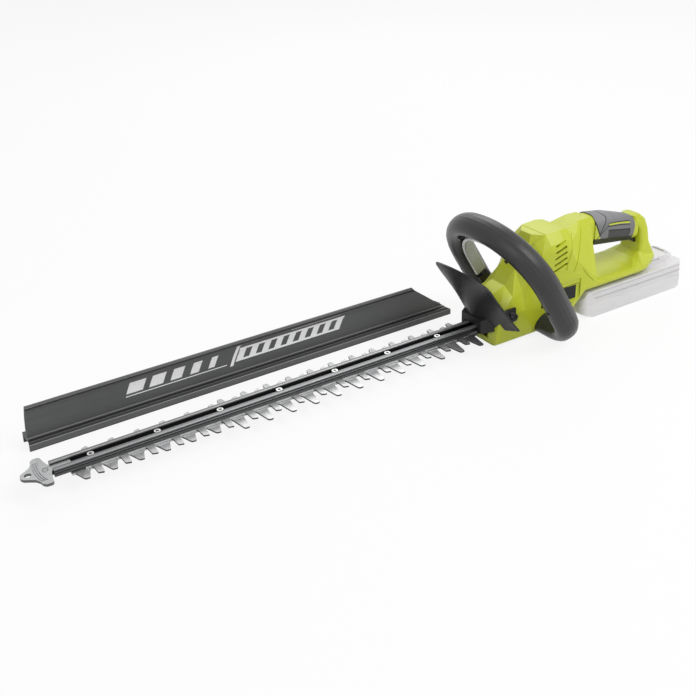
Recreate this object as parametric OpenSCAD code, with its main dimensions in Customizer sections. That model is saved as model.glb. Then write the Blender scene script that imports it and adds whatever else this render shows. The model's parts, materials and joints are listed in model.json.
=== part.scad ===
// Cordless hedge trimmer with a double-sided reciprocating blade, a loop front handle,
// a rear D-handle and a clip-on debris sweep. Millimetres.
// X runs along the cutting bar towards its tip, Y towards the tool's left, Z up.
// The origin is in the middle of the flat face under the gear housing.

/* [Cutting bar] */
// Distance between the screws along the bar
screw_pitch = 80; // [76:2:84]
// Number of screws that show along the bar
screw_count = 7; // [5:1:7]
// X of the rearmost screw that shows
screw_start = 125; // [122:1:128]
// Width of the cutting bar
bar_w = 22; // [21:0.5:23]
// Height of the bar's rails above its underside
bar_h = 10; // [9:0.5:11]
// Thickness of the bar's floor
bar_floor = 3; // [2.5:0.25:3.5]
// Width of each rail of the bar
rail_w = 5.4; // [5:0.2:5.6]
// Length of bar past its last screw
bar_nose = 45; // [42:1:50]
// Height of the lower blade's underside above the ground
blade_z = 18; // [17:0.5:20]
// Thickness of each blade
blade_t = 2.3; // [2:0.1:2.6]
// Width of each blade's spine
spine_w = 24; // [23:0.5:25]

/* [Teeth] */
// Distance between the teeth of one blade
tooth_pitch = 31.75; // [30:0.25:34]
// Number of tooth pairs on the lower blade, one more than on the upper
tooth_count = 18; // [15:1:18]
// Number of long tooth pairs on the lower blade, counted from the rear
long_count = 12; // [8:1:15]
// X of the rearmost lower tooth
tooth_start = 80; // [78:1:82]
// Reach of the long lower teeth from the centre line
lower_reach = 39; // [36:0.5:42]
// Reach of the lower teeth nearest the tip of the bar
nose_reach = 28.5; // [27:0.5:31]
// Reach of the upper teeth from the centre line
upper_reach = 30.5; // [28:0.5:33]
// Width of a lower tooth where it leaves the spine
lower_root = 19; // [17:0.5:21]
// Width of an upper tooth where it leaves the spine
upper_root = 13; // [11:0.5:15]
// Width of a tooth at its tip
tooth_tip = 6; // [5:0.5:7]

/* [Drive] */
// Throw of each eccentric, half the stroke of a blade
throw = 8; // [7:0.5:8]
// Radius of an eccentric
eccentric_r = 13; // [12.5:0.5:14]
// Module of the gear pair
gear_module = 1; // [1]
// Teeth of the drive gear
gear_teeth = 56; // [54:2:58]
// Teeth of the motor pinion
pinion_teeth = 12; // [11:1:13]
// X of the motor axis
motor_x = -48; // [-50:1:-46]
// Radius of the motor can
motor_r = 22; // [20:1:24]
// Length of the motor can
motor_len = 60; // [54:1:64]

/* [Housing] */
// Wall of the moulded housing
wall = 2.6; // [2:0.2:3]
// Half width of the body at its belt line
body_y = 38; // [37.5:0.5:39]
// Half width of the rear grip
grip_y = 17; // [16:0.5:18]
// Thickness of the soft grip cover
grip_t = 1.8; // [1.4:0.2:2.2]

/* [Loop handle] */
// Half width of the loop at its tube's centre
loop_y = 89.5; // [86:0.5:93]
// Height of the loop's crown, along its own plane
loop_top = 191.5; // [186:0.5:196]
// Height along its plane at which the arms start to bend over
loop_spring = 106.5; // [102:0.5:110]
// Forward lean of the loop
loop_lean = 30.6; // [28:0.1:33]
// Half thickness of the tube across the loop's plane
tube_deep = 18; // [16:0.5:19]
// Half thickness of the tube within the loop's plane
tube_wide = 14; // [13:0.5:15]

/* [Battery] */
// Length of the battery case
battery_len = 186; // [180:2:192]
// Half width of the battery case
battery_y = 37.5; // [36:0.5:38]
// Height of the battery case
battery_h = 41; // [39:0.5:42]

/* [Debris sweep] */
// Length of the sweep along its foot
sweep_len = 619; // [600:1:630]
// Height of the sweep
sweep_h = 63; // [58:1:66]
// Y of the sweep's sheet, where it stands behind the bar
sweep_y = -99; // [-104:1:-95]

/* [Hidden] */
$fn = 48;
eps = 0.3;
play = 0.3;             // gap between parts of different bodies
slide_gap = 0.2;        // gap between the flat sliding blades
run_gap = 0.05;         // radial running fit of shafts

// cutting bar levels
upper_z = blade_z + blade_t + slide_gap;
bar_z = upper_z + blade_t + slide_gap;
head_z = bar_z + bar_floor;
last_screw_x = screw_start + screw_pitch * (screw_count - 1);
bar_x1 = last_screw_x + bar_nose;
anchor_x = screw_start - screw_pitch;
bar_x0 = anchor_x - 14;
channel_w = bar_w - 2 * rail_w;
bolt_r = 2.5;
bush_r = 4;
nut_h = 4;
head_h = 5;

// drive levels
gear_r = gear_module * gear_teeth / 2;
pinion_r = gear_module * pinion_teeth / 2;
gear_x = motor_x + gear_r + pinion_r;
gear_z = upper_z + blade_t + 2.5;
gear_h = 7;
shaft_r = 4.5;
yoke_play = 1.75;
yoke_rim = 3;
yoke_x = eccentric_r + yoke_play + yoke_rim;
yoke_y = eccentric_r + throw + 0.5 + yoke_rim;
case_wall = 2.2;
case_z0 = 7.2;
case_z1 = gear_z + gear_h + 2;
lid_t = 5;
case_y = yoke_y + play;
case_x0 = gear_x - throw - yoke_x - 1;
case_x1 = gear_x + throw + yoke_x + 1;
gear_room = gear_r + gear_module + play;
bearing_r = 9;
bearing_h = 5;
crank_top = case_z1 + bearing_h;
motor_z = case_z1 + lid_t + 9;
motor_shaft_r = 2.5;
fan_r = 19;
stroke = 2 * throw;

// loop plane: height along the plane to row coordinates
lean_c = cos(loop_lean);
lean_s = sin(loop_lean);
loop_x0 = -45.5;
foot_s = 22;
foot_y = 31;
elbow_r = loop_y - 58;

// rear of the body
grip_x0 = -124;
grip_x1 = -214;
rail_z0 = 45;
rail_top = 57;
board_z = 64;

green = [0.72, 0.78, 0.16];
dark = [0.16, 0.16, 0.17];
metal = [0.75, 0.76, 0.78];

// ---------------------------------------------------------------- helpers

// A round-cornered bar between two X ends, standing on z0
module slab(x0, x1, y, z0, z1, r = 2) {
    translate([0, 0, z0]) linear_extrude(z1 - z0)
        translate([x0, -y]) offset(r) offset(-r) square([x1 - x0, 2 * y]);
}

module box(x, y, z) {
    translate([x[0], y[0], z[0]]) cube([x[1] - x[0], y[1] - y[0], z[1] - z[0]]);
}

module post(x, y, z0, z1, r, facets = 0) {
    translate([x, y, z0]) cylinder(h = z1 - z0, r = r, $fn = facets > 0 ? facets : $fn);
}

// An extrusion across the body, from an outline given in X and Z
module side_cut(points, y0, y1) {
    translate([0, y1, 0]) rotate([90, 0, 0]) linear_extrude(y1 - y0) polygon(points);
}

module left_half() {
    intersection() {
        children();
        translate([-500, 0, -10]) cube([1000, 120, 300]);
    }
}

// Row position of a point given along the loop's plane: across, up, out of plane
function on_loop(y, s, n = 0) = [loop_x0 + s * lean_s + n * lean_c, y, s * lean_c - n * lean_s];

module loop_frame() {
    multmatrix([[lean_c, 0, lean_s, loop_x0], [0, 1, 0, 0], [-lean_s, 0, lean_c, 0]]) children();
}

// A tube from rings of points: sides of triangles, ends closed by patches of the first ring's points
module swept(rings, patches = []) {
    n = len(rings[0]);
    m = len(rings);
    points = [for (ring = rings) for (p = ring) p];
    sides = [for (i = [0:m - 2]) for (j = [0:n - 1]) let (k = (j + 1) % n)
        each [[i * n + j, i * n + k, (i + 1) * n + k], [i * n + j, (i + 1) * n + k, (i + 1) * n + j]]];
    first = len(patches) > 0 ? patches : [[for (j = [0:n - 1]) j]];
    ends = [for (f = first) each [
        [for (j = [len(f) - 1:-1:0]) f[j]],
        [for (j = f) (m - 1) * n + j]
    ]];
    polyhedron(points, concat(sides, ends), convexity = 6);
}

// ---------------------------------------------------------------- cutting bar

screw_places = [for (i = [0:screw_count - 1]) screw_start + i * screw_pitch];
bolt_places = concat([anchor_x], screw_places);

// Channel of the bar: two rails with two grooves along each side
module bar_section() {
    groove = 1;
    side = bar_w / 2;
    inner = channel_w / 2;
    half = [
        [0, 0], [side, 0], [side, 2.4], [side - groove, 3], [side - groove, 4.2],
        [side, 4.8], [side - groove, 5.6], [side - groove, 6.6], [side - 0.1, 7.4],
        [side - 0.1, bar_h - 1.3], [side - 1.4, bar_h], [inner + 0.7, bar_h],
        [inner, bar_h - 0.7], [inner, bar_floor], [0, bar_floor]
    ];
    other = [for (i = [len(half) - 2:-1:1]) [-half[i][0], half[i][1]]];
    polygon(concat(half, other));
}

module blade_bar() {
    color([0.2, 0.2, 0.21])
    difference() {
        union() {
            translate([bar_x0, 0, bar_z]) rotate([90, 0, 90]) linear_extrude(bar_x1 - bar_x0) bar_section();
            // tongue under the tip guard
            box([bar_x1 - 1, tip_bolt_x + 6], [-5, 5], [bar_z, head_z]);
        }
        for (x = bolt_places) post(x, 0, bar_z - 1, head_z + 1, bolt_r + 0.2);
        post(tip_bolt_x, 0, bar_z - 1, head_z + 1, 2.2);
    }
}

module bar_screws() {
    color(metal)
    for (x = bolt_places) {
        post(x, 0, blade_z - slide_gap - nut_h - 1, head_z + 0.4, bolt_r);
        difference() {
            union() {
                post(x, 0, head_z, head_z + 1.2, 5.2);
                translate([x, 0, head_z + 1.2]) cylinder(h = head_h - 1.2, r1 = 4.5, r2 = 4.1);
            }
            translate([x, 0, head_z + 2.6]) cylinder(h = 5, r = 2.4, $fn = 6);
        }
    }
}

module bar_bushes() {
    color([0.6, 0.6, 0.62])
    for (x = bolt_places) difference() {
        post(x, 0, blade_z - slide_gap, bar_z, bush_r);
        post(x, 0, blade_z - 1, bar_z + 1, bolt_r);
    }
}

module bar_nuts() {
    color(metal)
    for (x = bolt_places) difference() {
        union() {
            post(x, 0, blade_z - slide_gap - 1.2, blade_z - slide_gap, 7.5);
            translate([x, 0, blade_z - slide_gap - 1.2 - nut_h]) cylinder(h = nut_h, r = 5, $fn = 6);
        }
        post(x, 0, blade_z - 8, blade_z + 1, bolt_r);
    }
}

// Outline of one tooth centred on x = 0, pointing to +Y or, with side -1, to -Y
module tooth(reach, slant, root_w, side) {
    root = root_w / 2;
    tip = tooth_tip / 2;
    y0 = spine_w / 2;
    half = [
        [-root, y0 - 1], [root, y0 - 1], [root - 1.2, y0 + 1], [root - 2.4, y0 + 3.5], [tip + 0.6, reach - 2.5],
        [tip - 0.8, reach - slant], [tip - 1.6, reach - slant], [0.8 - tip, reach], [-tip, reach - 0.6],
        [-tip - 0.6, reach - 2.5], [2.4 - root, y0 + 3.5], [1.2 - root, y0 + 1]
    ];
    polygon([for (p = side > 0 ? half : [for (i = [len(half) - 1:-1:0]) half[i]]) [p[0], side * p[1]]]);
}

// One blade with its yoke; first is where its rearmost tooth stands, reach gives how far each
// tooth goes, travel which way the blade moves
module blade(z, first, reach, slant, root_w, yoke_at, travel) {
    slot_r = bush_r + 0.2;
    teeth = [for (i = [0:len(reach) - 1]) first + i * tooth_pitch];
    front = min(teeth[len(reach) - 1] + 12, bar_x1 - 2);
    neck = 10;
    translate([0, 0, z]) linear_extrude(blade_t)
    difference() {
        union() {
            translate([first - 16, -spine_w / 2]) square([front - first + 16, spine_w]);
            translate([yoke_at, -neck]) square([first - 15 - yoke_at, 2 * neck]);
            translate([yoke_at - yoke_x, -yoke_y]) offset(4) offset(-4) square([2 * yoke_x, 2 * yoke_y]);
            for (i = [0:len(reach) - 1]) translate([teeth[i], 0]) {
                tooth(reach[i], slant, root_w, 1);
                tooth(reach[i], slant, root_w, -1);
            }
        }
        // cross slot in which the eccentric turns
        for (s = [-1, 1]) translate([yoke_at, s * (throw + 0.5)]) circle(eccentric_r + yoke_play);
        translate([yoke_at - eccentric_r - yoke_play, -throw - 0.5])
            square([2 * (eccentric_r + yoke_play), 2 * throw + 1]);
        // slots that slide along the bushes
        for (x = bolt_places) {
            far = travel * (stroke + 0.4);
            for (d = [0, far]) translate([x - d, 0]) circle(slot_r);
            translate([x - max(far, 0), -slot_r]) square([abs(far), 2 * slot_r]);
        }
        // lightening slots between the bushes
        for (x = screw_places) translate([x - screw_pitch / 2 - 12 - travel * throw, -3])
            square([20, 6]);
    }
}

module blade_upper() {
    color([0.78, 0.79, 0.8]) blade(upper_z, tooth_start + tooth_pitch / 2,
        [for (i = [1:tooth_count - 1]) upper_reach], 1.4, upper_root, gear_x + throw, -1);
}

module blade_lower() {
    color([0.72, 0.73, 0.74]) blade(blade_z, tooth_start,
        [for (i = [1:tooth_count]) i > long_count ? nose_reach : lower_reach], 0.4, lower_root, gear_x - throw, 1);
}

tip_bolt_x = bar_x1 + 6.5;
tip_hole_x = bar_x1 + 26;
tip_hole_r = 4;
tip_z = head_z;
tip_t = 3.5;
tip_rib_r = 60;

// Half outline of the tip guard past the end of the bar: x from the bar's end, y from the centre line
tip_wing = [
    [0.3, 5.2], [2, 9], [3.8, 17.5], [5, 26], [7, 28.5], [13.5, 28.2], [16.5, 25], [18, 18.5],
    [21, 13.5], [25, 10.6], [29.5, 7.6], [29.5, 0]
];

// Tip guard: a plate with wings, an end eye to hang the tool by and three raised ribs
module tip_guard() {
    root_y = channel_w / 2 - 0.4;
    color(metal)
    difference() {
        union() {
            translate([0, 0, tip_z]) linear_extrude(tip_t) union() {
                translate([bar_x1 - 22, -root_y]) square([24, 2 * root_y]);
                offset(1.5) offset(-1.5) translate([bar_x1, 0])
                    polygon(concat(tip_wing, [for (i = [len(tip_wing) - 2:-1:0]) [tip_wing[i][0], -tip_wing[i][1]]]));
                translate([tip_hole_x, 0]) circle(8.5);
            }
            // raised ribs across the wings
            for (d = [0, 2.5, 5]) translate([tip_hole_x - 7.5 - d - tip_rib_r, 0, tip_z + tip_t])
                rotate([0, 0, -19]) rotate_extrude(angle = 38)
                    translate([tip_rib_r, 0]) polygon([[-0.9, -0.2], [0.9, -0.2], [0.4, 0.8], [-0.4, 0.8]]);
        }
        post(tip_hole_x, 0, tip_z - 1, tip_z + tip_t + 3, tip_hole_r);
        post(tip_bolt_x, 0, tip_z - 1, tip_z + tip_t + 1, 2.2);
    }
}

module tip_screw() {
    color(metal) {
        post(tip_bolt_x, 0, bar_z + 0.2, tip_z + tip_t, 2);
        difference() {
            translate([tip_bolt_x, 0, tip_z + tip_t]) cylinder(h = 1.8, r1 = 3.8, r2 = 3);
            box([tip_bolt_x - 5, tip_bolt_x + 5], [-0.6, 0.6], [tip_z + tip_t + 0.9, tip_z + tip_t + 3]);
        }
    }
}

// ---------------------------------------------------------------- drive

// Involute tooth flank: radius r on the base circle rb, as a point turned by the angle a
function flank(rb, r, a) = let (t = sqrt(max(0, (r / rb) * (r / rb) - 1)), turn = t * 180 / PI - atan(t) + a)
    [r * cos(turn), r * sin(turn)];

// Spur gear outline with 20 degree involute teeth, its first tooth on the +X axis
module spur(teeth, module_size, backlash = 0.12) {
    pitch = module_size * teeth / 2;
    rb = pitch * cos(20);
    tip = pitch + 0.75 * module_size;
    root = pitch - 1.1 * module_size;
    t0 = tan(20);
    half = 90 / teeth - backlash / pitch * 90 / PI + (t0 * 180 / PI - 20);
    start = max(rb, root);
    radii = [for (i = [0:4]) start + (tip - start) * i / 4];
    step = 360 / teeth;
    polygon([for (k = [0:teeth - 1]) each concat(
        [let (a = k * step - half) [root * cos(a), root * sin(a)]],
        [for (r = radii) flank(rb, r, 0) * [[cos(k * step - half), sin(k * step - half)],
            [-sin(k * step - half), cos(k * step - half)]]],
        [for (i = [4:-1:0]) let (p = flank(rb, radii[i], 0)) [p[0], -p[1]]
            * [[cos(k * step + half), sin(k * step + half)], [-sin(k * step + half), cos(k * step + half)]]],
        [let (a = k * step + half) [root * cos(a), root * sin(a)]]
    )]);
}

module drive_gear() {
    color([0.55, 0.55, 0.58])
    translate([gear_x, 0, gear_z]) difference() {
        union() {
            linear_extrude(gear_h) spur(gear_teeth, gear_module);
        }
        translate([0, 0, -1]) cylinder(h = gear_h + 2, r = shaft_r);
        for (s = [0, 1]) translate([0, 0, s * gear_h]) rotate_extrude()
            translate([9, -1.5]) square([gear_r - 13, 3]);
        for (a = [0:60:300]) rotate(a) translate([16, 0, -1]) cylinder(h = gear_h + 2, r = 3.6);
    }
}

// Crank shaft with an eccentric for each blade, half a turn apart
module eccentric_shaft() {
    color([0.6, 0.6, 0.63]) {
        post(gear_x, 0, case_z0 + case_wall, crank_top, shaft_r);
        post(gear_x + throw, 0, upper_z, upper_z + blade_t, eccentric_r);
        post(gear_x - throw, 0, blade_z, blade_z + blade_t, eccentric_r);
        post(gear_x, 0, upper_z + blade_t + 0.1, gear_z, 8);
        post(gear_x, 0, blade_z + blade_t, upper_z, 8);
        post(gear_x, 0, blade_z - 3, blade_z - 0.1, 6.5);
    }
}

module bearing(x, z, outer, inner, h) {
    difference() {
        post(x, 0, z, z + h, outer);
        post(x, 0, z - 1, z + h + 1, inner);
        for (s = [0, 1]) translate([x, 0, z + s * h]) rotate_extrude()
            translate([inner + 1.4, -0.5]) square([outer - inner - 2.8, 1]);
    }
}

module crank_bearing_upper() {
    color(metal) bearing(gear_x, case_z1, bearing_r, shaft_r + run_gap, bearing_h);
}

module crank_bearing_lower() {
    color(metal) bearing(gear_x, case_z0 + case_wall, bearing_r, shaft_r + run_gap, bearing_h);
}

pinion_phase = 180 / pinion_teeth;
pinion_top = gear_z + gear_h + 1;

module motor_pinion() {
    color([0.6, 0.6, 0.63])
    translate([motor_x, 0, gear_z]) difference() {
        union() {
            rotate(pinion_phase) linear_extrude(gear_h) spur(pinion_teeth, gear_module);
        }
        translate([0, 0, -1]) cylinder(h = gear_h + 3, r = motor_shaft_r);
    }
}

module motor_rotor() {
    color([0.5, 0.45, 0.4]) {
        post(motor_x, 0, gear_z - 2, motor_z + motor_len + 6, motor_shaft_r);
        difference() {
            post(motor_x, 0, motor_z + 9, motor_z + motor_len - 14, 14);
            for (a = [0:60:300]) translate([motor_x, 0, 0]) rotate(a) translate([14, 0, motor_z])
                cylinder(h = motor_len, r = 2.6);
        }
        post(motor_x, 0, motor_z + motor_len - 12, motor_z + motor_len - 5, 7);
    }
}

module cooling_fan() {
    z = case_z1 + lid_t + 1;
    color(dark)
    difference() {
        union() {
            post(motor_x, 0, z, z + 1.6, fan_r);
            post(motor_x, 0, z, z + 7, 5.5);
            for (a = [0:40:320]) translate([motor_x, 0, z + 1.5]) rotate(a) translate([5, -0.6, 0])
                cube([fan_r - 6, 1.2, 4.5]);
        }
        post(motor_x, 0, z - 1, z + 9, motor_shaft_r);
    }
}

module motor_can() {
    color([0.7, 0.7, 0.72])
    difference() {
        post(motor_x, 0, motor_z, motor_z + motor_len, motor_r);
        post(motor_x, 0, motor_z + 2, motor_z + motor_len + 1, motor_r - 2);
        post(motor_x, 0, motor_z - 1, motor_z + 3, 5);
        for (a = [0:60:300]) translate([motor_x, 0, 0]) rotate(a) translate([motor_r - 7, 0, motor_z - 1])
            cylinder(h = 4, r = 2.4);
    }
    // field magnets inside the can
    color([0.3, 0.3, 0.3])
    for (s = [0, 180]) translate([motor_x, 0, motor_z + 8]) rotate(s - 55) rotate_extrude(angle = 110)
        translate([motor_r - 6, 0]) square([4, motor_len - 22]);
}

module motor_cap() {
    color(dark)
    difference() {
        union() {
            post(motor_x, 0, motor_z + motor_len, motor_z + motor_len + 3, motor_r);
            post(motor_x, 0, motor_z + motor_len - 3, motor_z + motor_len + 8, 9);
        }
        post(motor_x, 0, motor_z + motor_len - 4, motor_z + motor_len + 9, 8);
    }
}

module motor_bearings() {
    color(metal) {
        bearing(motor_x, motor_z, 5, motor_shaft_r + run_gap, 5);
        bearing(motor_x, motor_z + motor_len + 1, 8, motor_shaft_r + run_gap, 5);
    }
}

// Gear case outline around the yokes, grown by g
module yoke_room(g) {
    translate([case_x0, -case_y]) offset(g) offset(4) offset(-4) square([case_x1 - case_x0, 2 * case_y]);
}

// Gear case outline around the gear and the pinion, grown by g
module case_outline(g) {
    yoke_room(g);
    translate([gear_x, 0]) circle(gear_room + g);
    translate([motor_x, 0]) circle(pinion_r + 3 + g);
}

module gearcase_lower() {
    color([0.62, 0.63, 0.65])
    difference() {
        union() {
            translate([0, 0, case_z0]) linear_extrude(case_z1 - case_z0) yoke_room(case_wall);
            translate([0, 0, gear_z - 3]) linear_extrude(case_z1 - gear_z + 3) case_outline(case_wall);
        }
        translate([0, 0, blade_z - 3.2]) linear_extrude(case_z1) yoke_room(0);
        translate([0, 0, gear_z - 0.8]) linear_extrude(case_z1) case_outline(0);
        post(motor_x, 0, gear_z - 2.3, gear_z, 3);
        post(gear_x, 0, case_z0 + case_wall, case_z1, bearing_r);
        // mouth for the blades
        box([gear_x, case_x1 + 10], [-11, 11], [blade_z - 1, bar_z]);
    }
}

module gearcase_lid() {
    arm_y = channel_w / 2 - 0.5;
    color([0.62, 0.63, 0.65])
    difference() {
        union() {
            translate([0, 0, case_z1]) linear_extrude(lid_t) case_outline(case_wall);
            post(motor_x, 0, case_z1, case_z1 + lid_t, fan_r);
            // nose that clamps the bar in its channel
            slab(case_x1 - 6, anchor_x + 3, arm_y, case_z1, case_z1 + lid_t);
            slab(anchor_x - 8, anchor_x + 3, arm_y, head_z + head_h + 0.2, case_z1 + 1);
        }
        post(gear_x, 0, case_z1 - 1, case_z1 + lid_t + 1, bearing_r);
        post(motor_x, 0, case_z1 - 1, case_z1 + lid_t + 1, pinion_r + 2);
    }
}

// ---------------------------------------------------------------- housing

// Stations of the body, front to rear: x, top z and half width, shoulder z and y,
// upper and lower edge of the belt and its y, underside z and half width
body_rows = [
    [49, 70, 12, 64, 27, 55, 44, body_y - 3, 5, 31],
    [42, 74, 13, 66, 30, 57, 46, body_y, 4, 32],
    [22, 81, 13, 70, 30, 49, 46, body_y, 4, 32],
    [6, 102, 14, 73, 31, 49, 46, body_y, 4, 32],
    [-8, 118, 18, 92, 34, 70, 46, body_y, 4, 32],
    [-22, 133, 21, 121, 36, 112, 46, body_y, 4, 32],
    [-37, 143, 24, 130, 36, 122, 46, body_y, 4, 32],
    [-60, 144, 25, 131, 36, 122, 44, body_y, 6, 32],
    [-72, 143, 22, 129, 35, 118, 42, body_y, 9, 31],
    [-82, 138, 17, 122, 30, 98, 40, body_y, 14, 33],
    [-92, 141, 15, 130, 25, 92, 46, body_y, 29, 35],
    [-106, 144, 14, 132, 21, 78, 50, body_y, rail_z0, 37],
    [-114, 144, 14, 132, 20, 70, 50, body_y, rail_z0, 37],
    [grip_x0 - 2, 144, 13, 130, 18, 59, 50, body_y, rail_z0, 37]
];
// Stations of the platform above the battery, in the same order
rail_rows = [
    [grip_x0 + 4, rail_top + 3, 20, rail_top + 2, 33, rail_top, 50, body_y, rail_z0, 37],
    [-140, rail_top + 0.5, 20, rail_top, 33, rail_top - 2, 50, body_y, rail_z0, 37],
    [-200, rail_top, 20, rail_top - 0.5, 33, rail_top - 2, 50, body_y, rail_z0, 37],
    [-216, rail_top + 6, 18, rail_top + 3, 28, rail_top - 2, 50, body_y, rail_z0, 37],
    [-228, rail_top + 14, 16, rail_top + 8, 26, rail_top, 50, body_y - 2, rail_z0, 35],
    [-257, rail_top + 8, 12, rail_top + 4, 18, rail_top, 50, 21, rail_z0, 20]
];
// Levels of the rear column: z, front x, rear x, half width, corner
column_rows = [
    [rail_z0 + 1, -220, -257, 21, 6],
    [64, -224, -256, 21, 6],
    [81, -228, -247, 20, 6],
    [102, -226, -244, 18, 6],
    [116, -216, -239, 15, 5],
    [124, -214.5, -230, 13, 5]
];
// Stations of the grip: x, centre z, half height, half width
grip_rows = [
    [grip_x0 + 4, 121, 22, grip_y + 1],
    [-135, 121, 21.5, grip_y],
    [-165, 118, 20, grip_y],
    [-195, 111, 18, grip_y - 0.5],
    [grip_x1, 106, 17, grip_y - 1],
    [-224, 104, 16, grip_y - 2]
];

module row_section(r, g) {
    half = [[0, r[1]], [r[2], r[1]], [r[4], r[3]], [r[7], r[5]], [r[7], r[6]], [r[9], r[8] + 3], [r[9] - 3, r[8]], [0, r[8]]];
    translate([r[0], 0, 0]) rotate([90, 0, 90]) linear_extrude(eps) offset(delta = -g) {
        polygon(half);
        mirror([1, 0]) polygon(half);
    }
}

module row_chain(rows, g) {
    for (i = [0:len(rows) - 2]) hull() {
        row_section(rows[i], g);
        row_section(rows[i + 1], g);
    }
}

module column_level(r, g) {
    translate([0, 0, r[0]]) linear_extrude(eps) offset(delta = -g)
        translate([r[2], -r[3]]) offset(r[4], $fn = 12) offset(-r[4]) square([r[1] - r[2], 2 * r[3]]);
}

module grip_ring(r, g) {
    corner = min(r[2], r[3]) * 0.72;
    translate([r[0], 0, 0]) rotate([90, 0, 90]) linear_extrude(eps) offset(delta = -g)
        translate([-r[3], r[1] - r[2]]) offset(corner, $fn = 24) offset(-corner) square([2 * r[3], 2 * r[2]]);
}

module body_form(g) {
    row_chain(body_rows, g);
    row_chain(rail_rows, g);
    for (i = [0:len(column_rows) - 2]) hull() {
        column_level(column_rows[i], g);
        column_level(column_rows[i + 1], g);
    }
    for (i = [0:len(grip_rows) - 2]) hull() {
        grip_ring(grip_rows[i], g);
        grip_ring(grip_rows[i + 1], g);
    }
}

// Octagonal crown on top of the body, around the motor
module crown(g) {
    hull() {
        translate([motor_x, 0, 128]) rotate(22.5) cylinder(h = eps, r = 36 - g, $fn = 8);
        translate([motor_x, 0, 142 - g]) rotate(22.5) cylinder(h = eps, r = 27 - g, $fn = 8);
    }
}

crown_z = 142;
// Screws that draw the two halves together: x and z of each
half_screws = [[38, 61], [-96, 126], [-98, 52], [-232, 112], [-244, 60], [-16, 100]];
screw_r = 2;
boss_r = 4.5;
vent_count = 5;
vent_pitch = 8.6;
pack_slot_y = 24;
pack_slot_z = 52.8;
pack_x0 = -102;

module vent_cuts(side) {
    for (i = [0:vent_count - 1]) translate([-54.5, side * body_y, 95 + i * vent_pitch]) rotate([0, 17, 0])
        cube([25 - i * 1.5, 8, 3.2], center = true);
}

module housing() {
    $fn = 16;
    nose_x = body_rows[0][0];
    case_gap = 0.2;
    difference() {
        union() {
            body_form(0);
            crown(0);
        }
        difference() {
            intersection() {
                union() {
                    body_form(wall);
                    crown(wall);
                }
                translate([-254, -60, 0]) cube([254 + nose_x - wall, 120, 200]);
            }
            // bosses for the half screws
            for (p = half_screws) translate([p[0], 40, p[1]]) rotate([90, 0, 0]) cylinder(h = 80, r = boss_r);
            // ribs that hold the motor can
            for (z = [motor_z + 10, motor_z + motor_len - 14]) difference() {
                translate([motor_x - 40, -45, z]) cube([70, 90, 2.4]);
                post(motor_x, 0, z - 1, z + 4, motor_r + case_gap, 48);
            }
            // ribs that hold the gear case lid
            difference() {
                for (x = [case_x1 - 3, case_x0 + 6]) translate([x, -45, case_z1 + lid_t + case_gap])
                    cube([2.4, 90, 20]);
                post(motor_x, 0, case_z1, case_z1 + 40, motor_r + 1);
            }
            // shelf under the front switch
            translate([10, -45, 52]) cube([22, 90, 2.4]);
            // lips that guide the battery's rails
            for (s = [-1, 1]) translate([-226, s * (pack_slot_y + 1) - 2.5, rail_z0]) cube([109, 5, 20]);
            // shelf under the control board
            translate([-126, -45, board_z - 2.4]) cube([44, 90, 2.4]);
        }
        // mouth for the bar and the blades
        box([nose_x - 10, nose_x + 1], [-bar_w / 2 - 2.5, bar_w / 2 + 2.5], [blade_z - 8, case_z1 + lid_t + play]);
        // bay that the battery's head slides into, open to the rear
        box([-300, pack_x0 - 12], [-pack_slot_y, pack_slot_y], [rail_z0 - 2, pack_slot_z]);
        // opening closed by the base cover
        box([cover_x0 - 0.2, cover_x1 + 0.2], [-cover_y - 0.2, cover_y + 0.2], [-1, case_z0]);
        // window for the trigger along the underside of the grip
        box([trigger_x0 - play, trigger_x1 + play], [-trigger_y - play, trigger_y + play], [80, 104]);
        // bore of the trigger pin
        translate([trigger_pivot[0], pin_y, trigger_pivot[1]]) rotate([90, 0, 0])
            cylinder(h = 2 * pin_y, r = trigger_pin_r, $fn = 32);
        // vents on both sides
        for (s = [-1, 1]) vent_cuts(s);
        // recess for the side plate
        box([-94, -22], [body_y - 1.2, body_y + 1], [40, 70]);
        // screw holes, counterbored on the right
        for (p = half_screws) translate([p[0], 0, p[1]]) rotate([90, 0, 0]) {
            translate([0, 0, -9]) cylinder(h = 60, r = screw_r);
            translate([0, 0, 10]) cylinder(h = 60, r = 3.8);
        }
    }
}

cover_x0 = -46;
cover_x1 = 46;
cover_y = 23;
cover_t = case_z0;

// Ribs that reach into the grooves of the battery's head
module pack_rails() {
    for (s = [-1, 1]) scale([1, s, 1]) box([-248, pack_x0 - 18], [20.3, pack_slot_y + 1], [46.9, 49.1]);
}

module housing_left() {
    color(green) left_half() {
        housing();
        pack_rails();
    }
}

module housing_right() {
    color(green) difference() {
        union() {
            housing();
            pack_rails();
        }
        translate([-500, 0, -10]) cube([1000, 120, 300]);
    }
}

module housing_screws() {
    color(metal)
    for (p = half_screws) translate([p[0], 0, p[1]]) rotate([90, 0, 0]) {
        translate([0, 0, -8]) cylinder(h = 19, r = screw_r - 0.1);
        difference() {
            translate([0, 0, 10]) cylinder(h = 2.6, r = 3.6);
            translate([0, 0, 11.4]) cylinder(h = 2.6, r = 1.6, $fn = 6);
        }
    }
}

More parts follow.
